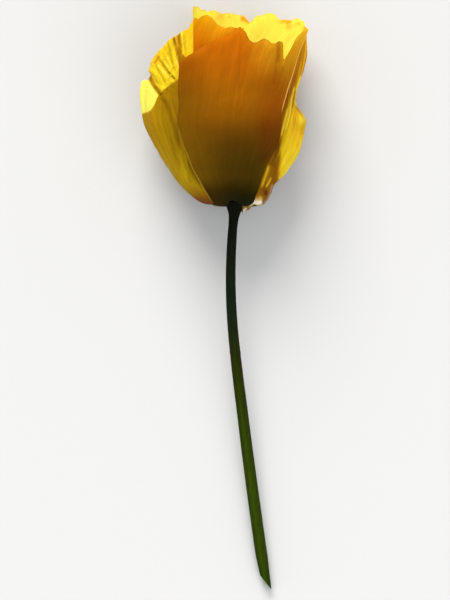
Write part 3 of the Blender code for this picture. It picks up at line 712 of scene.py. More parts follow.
        # painted shade along a crease and in the furrows of the lobe
        f["dark"] = 0.45 * crease(X, T, [(16.4, 24.6), (15.8, 21.8), (15.2, 19.6), (14.6, 17.6)], 0.15, 0.15) * (T < 30)
        furrow = smooth(noise(u * 52, g["along"] / 11, seed + 47) + 0.5 * noise(u * 90, g["along"] / 6, seed + 48), 0.2, 0.9)
        f["dark"] = np.maximum(f["dark"], 0.36 * furrow * lobe * smooth(T, 8, 12))
        f["amber"] = (0.50 * np.exp(-((X - 17.1) / 0.7) ** 2 - ((T - 18.4) / 2.0) ** 2)
                      + 0.60 * np.exp(-((X - 19.4) / 0.6) ** 2 - ((T - 18.0) / 1.2) ** 2)
                      + 0.45 * np.exp(-((X - 18.5) / 0.5) ** 2 - ((T - 15.2) / 1.4) ** 2)
                      + 0.40 * np.exp(-((X - 18.0) / 0.6) ** 2 - ((T - 23.4) / 0.9) ** 2)
                      + 0.35 * np.exp(-((X - 17.2) / 0.35) ** 2 - ((T - 26.5) / 2.5) ** 2)) * (0.8 + 0.5 * streak)
        f["amber"] = np.clip(f["amber"], 0, 1) * smooth(T, 8, 11)
        # painted highlights: pale lines near the right edge
        for path, w, k in (
            ([(17.7, 30.0), (17.15, 27.8), (16.45, 25.3), (15.95, 23.0), (15.35, 20.1), (14.75, 18.2)], 0.20, 0.85),
            ([(17.0, 27.0), (16.75, 25.0), (16.45, 22.6), (15.95, 20.4), (15.35, 18.4)], 0.16, 0.75),
            ([(16.0, 24.4), (15.3, 21.9), (14.7, 19.4), (14.2, 17.2)], 0.13, 0.70),
            ([(17.6, 25.4), (17.2, 22.4), (16.7, 19.6)], 0.14, 0.45),
            ([(19.3, 32.6), (18.85, 31.2), (18.35, 29.4), (18.0, 27.4), (17.85, 25.6), (18.1, 24.3)], 0.26, 0.95),
        ):
            f["bright"] = np.maximum(f["bright"], k * crease(X, T, path, w, 0.1))
        # painted shade: thin dark lines between the highlights
        for path, w, k in (
            ([(16.75, 26.8), (16.2, 24.4), (15.65, 21.6), (15.05, 19.2), (14.5, 17.2)], 0.10, 0.75),
            ([(17.0, 24.2), (16.5, 21.6), (15.9, 19.4), (15.2, 17.4)], 0.10, 0.60),
            ([(17.75, 28.6), (17.3, 26.2), (17.1, 24.0)], 0.12, 0.50),
        ):
            f["dark"] = np.maximum(f["dark"], k * crease(X, T, path, w, 0.15))
        # painted highlights: a pale spot, pale streaks on the lobe and a pale band along its rim
        f["bright"] = np.maximum(f["bright"], 0.90 * np.exp(-((X - 19.5) / 0.95) ** 2 - ((T - 21.3) / 1.5) ** 2))
        f["bright"] = np.maximum(f["bright"], 0.45 * lobe * smooth(X, 16.4, 17.4) * (1 - smooth(X, 18.6, 19.6))
                                 * smooth(streak, 0.1, 0.9) * smooth(T, 11, 14))
        rim = (crease(X, T, [(19.6, 20.0), (18.9, 15.0), (17.4, 11.2), (15.2, 7.9), (13.4, 6.3)], 0.62, 0.2)
               + 0.5 * crease(X, T, [(17.4, 22.0), (17.0, 17.0), (15.8, 12.0), (14.6, 9.0)], 0.8, 0.25))
        f["bright"] = np.clip(np.maximum(f["bright"], 0.75 * lobe * rim * (1 + 0.5 * streak)), 0, 1)
        f["red"] = (0.30 * bump(T, 18, 4) * bump(X, 19.2, 1.5) * (0.7 + 0.6 * streak)
                    + 0.40 * bump(T, 21, 4) * bump(X, 17.6, 0.7) + 0.25 * (1 - smooth(T, 1.0, 3.0)))
        # painted shade in the fold, in the strip beside the front petal and a little high on the lobe
        fold = crease(X, T, [(14.2, 16.0), (13.2, 12.5), (12.8, 9.0), (12.4, 6.6), (11.6, 4.8)], 0.95, 0.12)
        tone = tone - 0.28 * fold * (1 - f["lit"])
        tone = tone - 0.34 * crease(X, T, [(13.8, 17.0), (12.8, 13.8), (11.9, 11.4), (11.2, 9.6)], 1.0, 0.1) * (1 - f["lit"])
        tone = tone - 0.30 * band * (1 - f["lit"])
        f["red"] = np.maximum(f["red"], 0.45 * band)
        tone = tone - 0.08 * lobe * smooth(T, 17, 21) * f["lit"]
        # painted light: a lit sliver beside the front petal and a second lit line
        sliver = crease(X, T, [(11.25, 10.4), (10.85, 8.7), (10.05, 6.4), (9.2, 4.0)], 0.28, 0.22)
        second = crease(X, T, [(11.9, 7.1), (11.1, 5.6), (10.3, 4.3)], 0.22, 0.22)
        f["lit"] = np.maximum(f["lit"], np.maximum(0.85 * sliver, second))
        spot = np.exp(-((X - 10.4) / 0.55) ** 2 - ((T - 3.1) / 0.85) ** 2)
        f["dark"] = np.maximum(f["dark"], 0.85 * spot)
        f["red"] = np.maximum(f["red"], 0.9 * spot)
        # painted shade along a short crease, painted light on a patch beside it
        f["dark"] = np.maximum(f["dark"], 0.7 * crease(X, T, [(10.7, 6.0), (10.2, 4.8), (9.6, 3.4)], 0.16, 0.2))
        f["lit"] = np.maximum(f["lit"], 0.9 * crease(X, T, [(7.6, 1.2), (8.8, 1.5), (9.6, 2.2)], 0.6, 0.2))
        # painted highlight: near white at the foot, along its right edge and at the lip's tip
        f["cream"] = np.maximum(crease(X, T, [(6.0, 0.6), (7.4, 0.55), (8.6, 0.6), (9.7, 0.9)], 0.68, 0.12),
                                0.24 * crease(X, T, [(9.8, 0.4), (10.8, 1.4), (11.4, 2.8), (11.8, 4.2), (12.2, 5.4)], 0.18, 0.1))
        f["cream"] = np.maximum(f["cream"], 0.8 * crease(X, T, [(4.9, -1.9), (5.0, -1.2), (5.4, -0.9)], 0.28, 0.0) * (T < 0.2))
        # painted highlight along a line up the lobe's edge, and along the rim
        f["bright"] = np.maximum(f["bright"], 0.7 * crease(X, T, [(13.4, 6.4), (14.8, 7.4), (16.2, 9.0), (17.6, 11.2)], 0.40, 0.1))
        f["glow"] = zero + 0.45
    else:
        # painted light towards the rim, painted shade near black round the foot, painted highlight along the rim
        f["lit"] = smooth(T, 30, 44)
        f["olive"] = 0.4 * smooth(T, 4, 9) * (1 - smooth(T, 18, 30))
        f["eye"] = line([(0, 1.0), (3, 0.7), (6, 0.35), (12, 0.0)], np.hypot((X - 2.7) / 1.3, T))
        f["glow"] = zero + 0.45
    if name in ("left_petal", "right_petal"):
        # the painted light, shade and tints fade round the flank into an even underside, painted lighter towards the
        # rim
        under = smooth(axis_z(T) - face[..., 2], -1.5, 5.0)
        for key in ("lit", "orange", "bright", "amber", "dark", "olive", "red", "cream"):
            even = 0.62 * smooth(T, 2, 34) if key == "lit" else 0.0
            f[key] = f[key] * (1 - under) + even * under
        tone = tone * (1 - under) + under
    # the painted near-white highlight also lightens the colour
    f["tone"] = np.clip(tone + 0.22 * f["cream"], 0.2, 2.0)
    return f


def paint_inside(name, g):
    """Colour fields of a petal's inner face."""
    T, u, seed = g["t"], g["u"], SEED[name]
    zero = np.zeros_like(T)
    f = {key: zero.copy() for key in FIELDS}
    f["h"] = np.clip(T / 50, 0, 1)
    f["edge"] = g["edge"]
    # painted light towards the rim, painted shade deep in the cup, painted highlight along the rim
    f["lit"] = smooth(T + 3 * noise(u * 12, g["along"] / 20, seed + 40), 16, 34)
    f["eye"] = 0.8 * (1 - smooth(g["along"] + 1.2 * noise(u * 22, 0.5, seed + 44), 4, 13))
    f["glow"] = zero + 0.4
    f["tone"] = zero + 1.0
    if name == "back_petal":
        X = g["X"]
        # painted highlight: the inner face pale towards the rim
        f["bright"] = smooth(T, 33, 39) * (0.95 + 0.20 * noise(u * 16, g["along"] / 9, seed + 41))
        mottle = 1 + 0.7 * noise(X / 1.3, T / 0.9, seed + 42)
        near = 1 - smooth(g["rim"], 0.6, 2.6)
        for x, t, wx, wt, k in ((15.2, 46.1, 1.7, 0.45, 0.80), (16.3, 45.1, 1.0, 1.1, 0.50), (5.3, 46.7, 1.2, 0.8, 0.70),
                                (-0.9, 47.4, 1.0, 0.9, 0.40), (20.4, 44.0, 0.7, 0.8, 0.75), (18.6, 45.4, 0.9, 0.6, 0.30),
                                (1.6, 47.4, 0.8, 0.5, 0.25)):
            f["amber"] += k * np.exp(-((X - x) / wx) ** 2 - ((T - t) / wt) ** 2) * mottle
        f["amber"] += 0.75 * crease(X, T, [(4.2, 47.5), (5.1, 47.1), (5.9, 46.4), (6.4, 45.6)], 0.6, 0.1)
        f["amber"] = np.clip(f["amber"] + 0.22 * near * smooth(mottle, 1.2, 1.6), 0, 1)
        # painted light: lighter on the left and high in the middle
        f["tone"] = f["tone"] + 0.12 * smooth(-X, 0, 4) + 0.16 * np.exp(-((X + 0.6) / 2.2) ** 2) * smooth(T, 36, 42)
    return f


# ================================================================ materials
def nodes_of(name):
    mat = bpy.data.materials.new(name)
    mat.use_nodes = True
    tree = mat.node_tree
    tree.nodes.clear()
    out = tree.nodes.new("ShaderNodeOutputMaterial")
    return mat, tree, out


class Graph:
    def __init__(self, tree):
        self.tree = tree

    def node(self, kind, **settings):
        n = self.tree.nodes.new(kind)
        for key, value in settings.items():
            setattr(n, key, value)
        return n

    def put(self, socket, value):
        if isinstance(value, bpy.types.NodeSocket):
            self.tree.links.new(value, socket)
        elif isinstance(value, tuple) and len(value) == 3 and len(socket.default_value) == 4:
            socket.default_value = (*value, 1)
        else:
            socket.default_value = value

    def attr(self, name):
        return self.node("ShaderNodeAttribute", attribute_name=name).outputs["Fac"]

    def uv(self, name):
        return self.node("ShaderNodeUVMap", uv_map=name).outputs["UV"]

    def ramp(self, fac, stops, mode="LINEAR"):
        n = self.node("ShaderNodeValToRGB")
        n.color_ramp.interpolation = mode
        els = n.color_ramp.elements
        while len(els) < len(stops):
            els.new(0.5)
        for e, (pos, col) in zip(els, stops):
            e.position = pos
        for e, (pos, col) in zip(els, stops):
            e.color = (*col, 1) if isinstance(col, tuple) else (col, col, col, 1)
        self.put(n.inputs["Fac"], fac)
        return n.outputs["Color"]

    def mix(self, fac, a, b, mode="MIX"):
        n = self.node("ShaderNodeMix", data_type="RGBA", blend_type=mode)
        n.clamp_factor = True
        self.put(n.inputs["Factor"], fac)
        self.put(n.inputs[6], a)
        self.put(n.inputs[7], b)
        return n.outputs[2]

    def math(self, op, a, b=None, c=None, clamp=False):
        n = self.node("ShaderNodeMath", operation=op)
        n.use_clamp = clamp
        self.put(n.inputs[0], a)
        if b is not None:
            self.put(n.inputs[1], b)
        if c is not None:
            self.put(n.inputs[2], c)
        return n.outputs[0]

    def scaled(self, vector, scale, offset=(0.0, 0.0, 0.0)):
        n = self.node("ShaderNodeMapping")
        self.put(n.inputs["Vector"], vector)
        n.inputs["Scale"].default_value = scale
        n.inputs["Location"].default_value = offset
        return n.outputs["Vector"]

    def noise(self, vector, scale, detail=2.0, rough=0.5, distortion=0.0):
        n = self.node("ShaderNodeTexNoise", noise_dimensions="3D")
        self.put(n.inputs["Vector"], vector)
        n.inputs["Scale"].default_value = scale
        n.inputs["Detail"].default_value = detail
        n.inputs["Roughness"].default_value = rough
        n.inputs["Distortion"].default_value = distortion
        return n.outputs[0]

    def span(self, value, a0, a1, b0, b1):
        n = self.node("ShaderNodeMapRange")
        n.clamp = True
        self.put(n.inputs[0], value)
        for i, x in enumerate((a0, a1, b0, b1)):
            n.inputs[i + 1].default_value = x
        return n.outputs[0]


# Colours by height over 50 mm, linear: painted shade and painted light of the same tissue, the shaded ramps where the
# tissue lies doubled, the lit ramps where it is thin.
FRONT_SHADE = [(0.00, (0.055, 0.024, 0.001)), (0.05, (0.060, 0.027, 0.001)), (0.10, (0.074, 0.034, 0.001)),
               (0.16, (0.088, 0.044, 0.001)), (0.23, (0.100, 0.046, 0.001)), (0.30, (0.122, 0.050, 0.001)),
               (0.375, (0.180, 0.064, 0.001)), (0.45, (0.255, 0.085, 0.001)), (0.53, (0.320, 0.106, 0.001)),
               (0.62, (0.360, 0.110, 0.001)), (0.70, (0.410, 0.110, 0.001)), (0.78, (0.490, 0.124, 0.001)),
               (0.86, (0.580, 0.165, 0.001)), (1.00, (0.670, 0.250, 0.002))]
LEFT_SHADE = [(0.00, (0.170, 0.055, 0.002)), (0.05, (0.330, 0.170, 0.002)), (0.10, (0.400, 0.255, 0.003)),
              (0.18, (0.420, 0.275, 0.003)), (0.28, (0.395, 0.230, 0.002)), (0.40, (0.365, 0.205, 0.002)),
              (0.52, (0.345, 0.185, 0.002)), (0.70, (0.360, 0.170, 0.002)), (1.00, (0.500, 0.220, 0.002))]
RIGHT_SHADE = [(0.00, (0.300, 0.160, 0.014)), (0.03, (0.300, 0.130, 0.008)), (0.07, (0.300, 0.120, 0.003)), (0.16, (0.370, 0.145, 0.002)),
               (0.30, (0.400, 0.175, 0.003)), (0.42, (0.450, 0.220, 0.003)), (0.52, (0.330, 0.130, 0.002)),
               (0.62, (0.340, 0.115, 0.002)), (0.72, (0.480, 0.190, 0.002)), (0.86, (0.530, 0.240, 0.003)),
               (1.00, (0.600, 0.280, 0.003))]
BACK_SHADE = [(0.00, (0.020, 0.016, 0.003)), (0.08, (0.060, 0.030, 0.002)), (0.20, (0.170, 0.075, 0.002)),
              (0.40, (0.370, 0.150, 0.002)), (0.65, (0.560, 0.230, 0.002)), (0.85, (0.760, 0.380, 0.004)),
              (1.00, (0.880, 0.560, 0.010))]
LIT = [(0.00, (0.60, 0.36, 0.010)), (0.20, (0.74, 0.46, 0.012)), (0.45, (0.83, 0.54, 0.018)),
       (0.62, (0.86, 0.55, 0.018)), (0.78, (0.87, 0.56, 0.015)), (0.90, (0.95, 0.72, 0.040)),
       (1.00, (0.97, 0.76, 0.060))]
LIT_LEFT = [(0.00, (0.60, 0.36, 0.010)), (0.45, (0.84, 0.60, 0.014)), (0.62, (0.91, 0.672, 0.018)),
            (0.72, (0.89, 0.650, 0.016)), (0.80, (0.85, 0.595, 0.013)), (0.88, (0.80, 0.540, 0.012)),
            (1.00, (0.84, 0.560, 0.016))]
LIT_RIGHT = [(0.00, (0.62, 0.38, 0.010)), (0.12, (0.84, 0.56, 0.012)), (0.22, (0.92, 0.65, 0.012)),
             (0.30, (0.90, 0.61, 0.009)), (0.38, (0.85, 0.54, 0.008)), (0.50, (0.76, 0.44, 0.007)),
             (0.62, (0.80, 0.44, 0.010)), (0.80, (0.84, 0.48, 0.016)), (1.00, (0.90, 0.58, 0.020))]
# pale yellow of the painted highlights
PALE = (1.0, 0.94, 0.125)
# orange of the painted light through two layers of petal
ORANGE = [(0.70, (0.42, 0.100, 0.001)), (0.80, (0.46, 0.125, 0.001)), (0.855, (0.50, 0.160, 0.001)),
          (0.895, (0.54, 0.205, 0.001)), (0.925, (0.55, 0.235, 0.002)), (0.96, (0.60, 0.290, 0.004))]


def petal_material(name, shade, seed, pale=PALE, lit=LIT, veins=1.0, through=0.30):
    mat, tree, out = nodes_of(name)
    g = Graph(tree)
    h = g.attr("h")
    # painted light and shade: lit and shaded copies of the tissue
    base = g.mix(g.attr("lit"), g.ramp(h, shade), g.ramp(h, lit))
    # painted light through two layers
    base = g.mix(g.attr("orange"), base, g.ramp(h, ORANGE))
    # painted highlights
    base = g.mix(g.attr("bright"), base, pale)
    # warm tints, and painted warm highlights on the left petal
    base = g.mix(g.attr("amber"), base, (0.90, 0.40, 0.008))
    # painted near-white highlight
    base = g.mix(g.attr("cream"), base, (1.0, 0.95, 0.70))
    base = g.mix(g.math("MULTIPLY", g.attr("olive"), 0.75), base, (0.215, 0.098, 0.002))
    base = g.mix(g.attr("red"), base, (0.86, 0.56, 0.60), "MULTIPLY")
    # painted shade along creases, folds and furrows, and a dark spot
    base = g.mix(g.attr("dark"), base, (0.38, 0.23, 0.10), "MULTIPLY")
    # painted shade near black round the foot
    base = g.mix(g.attr("eye"), base, (0.009, 0.0115, 0.0006))
    # lengthwise veins, finer towards the rim
    uv = g.uv("petal")
    wide = g.noise(g.scaled(uv, (0.62, 0.035, 1.0), (seed, 0, 0)), 1.0, 3.0, 0.6, 0.3)
    thin = g.noise(g.scaled(uv, (2.6, 0.10, 1.0), (seed + 7, 3, 0)), 1.0, 2.0, 0.55, 0.2)
    hair = g.noise(g.scaled(uv, (6.5, 0.30, 1.0), (seed + 17, 5, 0)), 1.0, 1.0, 0.5)
    cloud = g.noise(g.scaled(uv, (0.20, 0.16, 1.0), (seed + 27, 9, 0)), 1.0, 3.0, 0.6)
    gain = g.math("MULTIPLY", g.span(wide, 0.30, 0.70, 0.90, 1.08), g.span(thin, 0.30, 0.70, 0.93, 1.06))
    gain = g.math("MULTIPLY", gain, g.span(hair, 0.30, 0.70, 0.965, 1.03))
    gain = g.math("MULTIPLY", gain, g.span(cloud, 0.30, 0.70, 0.93, 1.06))
    base = g.mix(g.span(g.attr("bright"), 0.0, 1.0, veins, 0.45), base, gain, "MULTIPLY")
    # painted light and shade as a gain on the colour, with the veins' own variation
    base = g.mix(1.0, base, g.attr("tone"), "MULTIPLY")
    # painted highlight: the thin rim painted paler, as if lit through
    rim = g.span(g.attr("edge"), 0.04, 0.44, 1.0, 0.0)
    base = g.mix(g.math("MULTIPLY", rim, g.attr("glow")), base, g.ramp(h, [(0.0, (0.52, 0.33, 0.03)),
                 (0.36, (0.50, 0.30, 0.018)), (0.48, (0.95, 0.50, 0.10)), (0.75, (1.0, 0.56, 0.11)),
                 (1.0, (0.95, 0.64, 0.08))]))
    bump_h = g.math("ADD", g.math("MULTIPLY", thin, 0.7), g.math("MULTIPLY", hair, 0.3))
    crepe = g.noise(g.scaled(uv, (1.6, 0.9, 1.0), (seed + 3, 1, 0)), 1.0, 3.0, 0.6)
    bump_h = g.math("ADD", bump_h, g.math("MULTIPLY", crepe, 0.35))
    b = g.node("ShaderNodeBump")
    b.inputs["Strength"].default_value = 0.35
    b.inputs["Distance"].default_value = 0.00022
    g.put(b.inputs["Height"], bump_h)
    p = g.node("ShaderNodeBsdfPrincipled")
    g.put(p.inputs["Base Color"], base)
    g.put(p.inputs["Roughness"], g.span(crepe, 0.3, 0.7, 0.50, 0.64))
    p.inputs["Specular IOR Level"].default_value = 0.02
    g.put(p.inputs["Normal"], b.outputs["Normal"])
    t = g.node("ShaderNodeBsdfTranslucent")
    gam = g.node("ShaderNodeGamma")
    g.put(gam.inputs["Color"], base)
    gam.inputs["Gamma"].default_value = 0.75
    g.put(t.inputs["Color"], gam.outputs["Color"])
    g.put(t.inputs["Normal"], b.outputs["Normal"])
    m = g.node("ShaderNodeMixShader")
    m.inputs["Fac"].default_value = through
    tree.links.new(p.outputs["BSDF"], m.inputs[1])
    tree.links.new(t.outputs["BSDF"], m.inputs[2])
    tree.links.new(m.outputs["Shader"], out.inputs["Surface"])
    return mat


petal("front_petal", 240, 186, petal_material("front petal tissue", FRONT_SHADE, 3.0, veins=0.62))
petal("back_petal", 240, 186, petal_material("back petal tissue", BACK_SHADE, 13.0, (1.0, 0.93, 0.10)))
petal("left_petal", 240, 186, petal_material("left petal tissue", LEFT_SHADE, 23.0, lit=LIT_LEFT))
petal("right_petal", 240, 186, petal_material("right petal tissue", RIGHT_SHADE, 33.0, (1.0, 0.76, 0.045), LIT_RIGHT))


# ================================================================ stem and receptacle
STEM_X = [(-73.3, 10.75), (-63.5, 9.25), (-51.5, 7.55), (-39.5, 5.95), (-27.5, 4.43),
          (-15.5, 2.95), (-5, 1.96), (5.5, 1.62), (13, 1.83), (18.5, 2.22), (23.25, 2.72),
          (25.0, 2.72)]
STEM_R = [(-73.3, 1.40), (-60, 1.48), (-40, 1.45), (-20, 1.36), (0, 1.25), (14, 1.19),
          (19, 1.20), (20.6, 1.34), (22.0, 1.75), (23.2, 2.15), (24.2, 2.40), (24.8, 2.34)]
STEM_LEN = CUP_Y - STEM_END_Y
STEM_END_Z = 1.42


def stem_z(y):
    q = np.clip((CUP_Y - np.asarray(y, float)) / STEM_LEN, 0, None)
    fall = CUP_RISE * STEM_LEN
    z = CUP_Z - fall * q + (STEM_END_Z - CUP_Z + fall) * q**2
    return z + CUP_RISE * np.clip(np.asarray(y, float) - CUP_Y, 0, None)


def stem():
    sides, body = 64, 330
    ys = np.concatenate([np.linspace(STEM_END_Y, 18.0, body), np.linspace(18.0, CUP_Y + RECEPTACLE_TOP, 40)[1:]])
    xs, rs, zs = curve(STEM_X, ys), curve(STEM_R, ys), stem_z(ys)
    rs = np.where(ys > 24.2, rs * np.sqrt(np.clip(1 - ((ys - 24.2) / 0.85) ** 2, 0.0, 1)) , rs)
    rs = np.maximum(rs, 1.75 * (ys > 24.2))
    ang = np.linspace(0, 2 * math.pi, sides, endpoint=False)
    A, Y = np.meshgrid(ang, ys)
    R = rs[:, None] * np.ones_like(A)
    stalk = 1 - smooth(Y, 19, 23)
    # faint lengthwise ridges, slow swellings and the ring mark
    R = R * (1 + stalk * (0.022 * np.cos(7 * A + 0.02 * Y) + 0.012 * np.cos(16 * A - 0.05 * Y)))
    R = R + 0.020 * noise(A * 3.0, Y / 7.0, 71) + 0.012 * noise(A * 6.0, Y / 1.6, 72)
    R = R + 0.060 * np.exp(-((Y + 13.6) / 0.35) ** 2) - 0.045 * np.exp(-((Y + 14.6) / 0.45) ** 2)
    # ribs of the receptacle
    R = R * (1 + (1 - stalk) * 0.035 * np.cos(12 * A))
    dx, dz = R * np.cos(A), R * np.sin(A)
    step = (18.0 - STEM_END_Y) / 29
    lean = STEM_CUT_SLOPE * dx * np.clip(1 - (Y - STEM_END_Y) / (2 * step), 0, 1)
    P = np.stack([xs[:, None] + dx, Y + lean, zs[:, None] + dz], -1)
    P[..., 2] = soft_floor(P[..., 2], 0.0, 0.12)
    rows = len(ys)
    # cut face: rings towards the middle, with a pith hollow and a raised skin
    cut_rows, cut_faces = [], []
    centre = np.array([xs[0], STEM_END_Y, zs[0]])
    fr = np.array([0.93, 0.86, 0.74, 0.60, 0.45, 0.30, 0.15])
    dip = np.array([0.10, 0.05, 0.02, -0.04, 0.10, 0.28, 0.36])
    for k, d in zip(fr, dip):
        ring = centre + (P[0] - centre) * k
        ring = ring + np.array([0, 1.0, 0]) * (d + 0.05 * noise(np.cos(ang) * 3 * k, np.sin(ang) * 3 * k, 77))[:, None]
        cut_rows.append(ring)
    V = np.concatenate([P.reshape(-1, 3), np.concatenate(cut_rows), (centre + [0, 0.38, 0])[None],
                        np.array([[xs[-1], ys[-1] + 0.05, zs[-1]]])])
    n0 = rows * sides
    faces = [quads(rows, sides, 0, True, wrap=True)]
    j, jn = np.arange(sides), (np.arange(sides) + 1) % sides
    prev = 0
    for k in range(len(fr)):
        cur = n0 + k * sides
        faces.append(np.stack([prev + jn, prev + j, cur + j, cur + jn], -1)[:, ::-1])
        prev = cur
    c0, c1 = n0 + len(fr) * sides, n0 + len(fr) * sides + 1
    tri = [np.stack([np.full(sides, c0), prev + j, prev + jn], -1)[:, ::-1],
           np.stack([np.full(sides, c1), (rows - 1) * sides + jn, (rows - 1) * sides + j], -1)[:, ::-1]]
    allf = faces + tri
    rad = np.concatenate([np.ones(n0), np.repeat(fr, sides), [0.0], [1.0]])
    iscut = np.concatenate([np.zeros(n0), np.ones(len(fr) * sides + 1), [0.0]])
    yy = V[:, 1]
    up = np.concatenate([np.sin(A).ravel(), np.zeros(len(V) - n0)])
    across = np.concatenate([np.cos(A).ravel(), np.zeros(len(V) - n0)])
    fields = {"h": np.clip((yy + 73.3) / 100, 0, 1), "cut": iscut, "rad": rad, "across": across, "up": up}
    obj = make_mesh("stem_stalk", V, allf, fields, None, 50)
    orient(obj)
    return obj


def orient(obj):
    """Faces of a closed body point out."""
    mesh = obj.data
    co = np.empty(len(mesh.vertices) * 3)
    mesh.vertices.foreach_get("co", co)
    co = co.reshape(-1, 3)
    mesh.calc_loop_triangles()
    tri = np.empty(len(mesh.loop_triangles) * 3, np.int32)
    mesh.loop_triangles.foreach_get("vertices", tri)
    tri = tri.reshape(-1, 3)
    if np.einsum("ij,ij->i", co[tri[:, 0]], np.cross(co[tri[:, 1]], co[tri[:, 2]])).sum() < 0:
        mesh.flip_normals()


def stem_material():
    mat, tree, out = nodes_of("stem skin")
    g = Graph(tree)
    h = g.attr("h")
    # the stalk's own green low down, with painted shade making it near black towards the flower
    skin = g.ramp(h, [(0.00, (0.013, 0.027, 0.0006)), (0.08, (0.016, 0.030, 0.0006)), (0.20, (0.019, 0.033, 0.0006)),
                      (0.36, (0.017, 0.030, 0.0006)), (0.48, (0.0135, 0.0222, 0.0006)), (0.58, (0.0095, 0.0155, 0.0008)),
                      (0.66, (0.0055, 0.0105, 0.003)), (0.78, (0.0042, 0.0070, 0.0035)), (0.90, (0.0035, 0.0044, 0.0018)),
                      (1.00, (0.0035, 0.0046, 0.0015))])
    co = g.node("ShaderNodeTexCoord").outputs["Object"]
    streak = g.noise(g.scaled(co, (2400.0, 60.0, 2400.0)), 1.0, 3.0, 0.6)
    mottle = g.noise(co, 900.0, 3.0, 0.6)
    skin = g.mix(1.0, skin, g.span(streak, 0.30, 0.70, 0.78, 1.25), "MULTIPLY")
    skin = g.mix(1.0, skin, g.span(mottle, 0.30, 0.70, 0.88, 1.12), "MULTIPLY")
    # reddish flush along both sides of the middle
    side = g.math("ABSOLUTE", g.attr("across"))
    flush = g.math("MULTIPLY", g.span(side, 0.55, 0.95, 0.0, 0.55),
                   g.ramp(h, [(0.46, 0.0), (0.52, 1.0), (0.64, 1.0), (0.70, 0.0)]))
    skin = g.mix(flush, skin, (0.035, 0.014, 0.003))
    # pale lengthwise stripe low on the stalk
    stripe = g.math("MULTIPLY", g.span(g.math("ABSOLUTE", g.math("ADD", g.attr("across"), 0.15)), 0.0, 0.4, 0.22, 0.0),
                    g.ramp(h, [(0.0, 1.0), (0.40, 1.0), (0.62, 0.0)]))
    skin = g.mix(stripe, skin, (0.040, 0.075, 0.001))
    # the cut: pale pith inside a green rim
    pith = g.ramp(g.attr("rad"), [(0.0, (0.20, 0.24, 0.06)), (0.45, (0.26, 0.32, 0.07)), (0.70, (0.12, 0.19, 0.02)),
                                  (0.90, (0.06, 0.11, 0.006)), (1.0, (0.045, 0.08, 0.004))])
    pith = g.mix(1.0, pith, g.span(mottle, 0.30, 0.70, 0.75, 1.2), "MULTIPLY")
    base = g.mix(g.attr("cut"), skin, pith)
    b = g.node("ShaderNodeBump")
    b.inputs["Strength"].default_value = 0.4
    b.inputs["Distance"].default_value = 0.0001
    g.put(b.inputs["Height"], g.math("ADD", streak, mottle))
    p = g.node("ShaderNodeBsdfPrincipled")
    g.put(p.inputs["Base Color"], base)
    g.put(p.inputs["Roughness"], g.span(mottle, 0.3, 0.7, 0.42, 0.60))
    p.inputs["Specular IOR Level"].default_value = 0.02
    g.put(p.inputs["Normal"], b.outputs["Normal"])
    tree.links.new(p.outputs["BSDF"], out.inputs["Surface"])
    return mat


finish_piece(stem(), "stem", stem_material())


# ================================================================ pistil
PISTIL = [(1.85, 0.62), (2.3, 0.80), (4.0, 1.00), (6.5, 1.12), (9.0, 0.98), (11.5, 0.68),
          (12.6, 0.50), (13.3, 0.48), (13.8, 0.80), (14.2, 1.25), (14.6, 1.20), (14.9, 0.55)]


def pistil():
    sides = 80
    ts = np.concatenate([np.linspace(1.55, 12.9, 70), np.linspace(13.0, 14.9, 40)])
    rs = np.where(ts < 1.85, 0.62, curve(PISTIL, ts))
    ang = np.linspace(0, 2 * math.pi, sides, endpoint=False)
    A, T = np.meshgrid(ang, ts)
    R = rs[:, None] * np.ones_like(A)
    ray = smooth(T, 13.3, 14.0)
    body = smooth(T, 2, 3.5) * (1 - smooth(T, 10.5, 12.4))
    R = R * (1 + 0.42 * ray * (np.cos(5 * A) - 0.3))
    R = R * (1 - body * 0.11 * np.abs(np.cos(2.5 * A)) ** 5 + body * 0.02 * noise(A * 4, T / 0.8, 81))
    R = R + ray * 0.07 * noise(A * 9, T * 3, 82)
    P = place(R, A, T, depth=1.0)
    rows = len(ts)
    V = np.concatenate([P.reshape(-1, 3), place(np.zeros(1), np.zeros(1), np.array([1.55]), depth=1.0),
                        place(np.zeros(1), np.zeros(1), np.array([15.0]), depth=1.0)])
    j, jn = np.arange(sides), (np.arange(sides) + 1) % sides
    n0 = rows * sides
    faces = [quads(rows, sides, 0, True, wrap=True),
             np.stack([np.full(sides, n0), j, jn], -1)[:, ::-1],
             np.stack([np.full(sides, n0 + 1), n0 - sides + jn, n0 - sides + j], -1)[:, ::-1]]
    h = np.concatenate([(T / 15).ravel(), [0.1, 1.0]])
    groove = np.concatenate([(body * np.abs(np.cos(2.5 * A)) ** 5).ravel(), [0, 0]])
    obj = make_mesh("pistil_body", V, faces, {"h": h, "groove": groove}, None, 60)
    orient(obj)
    return obj


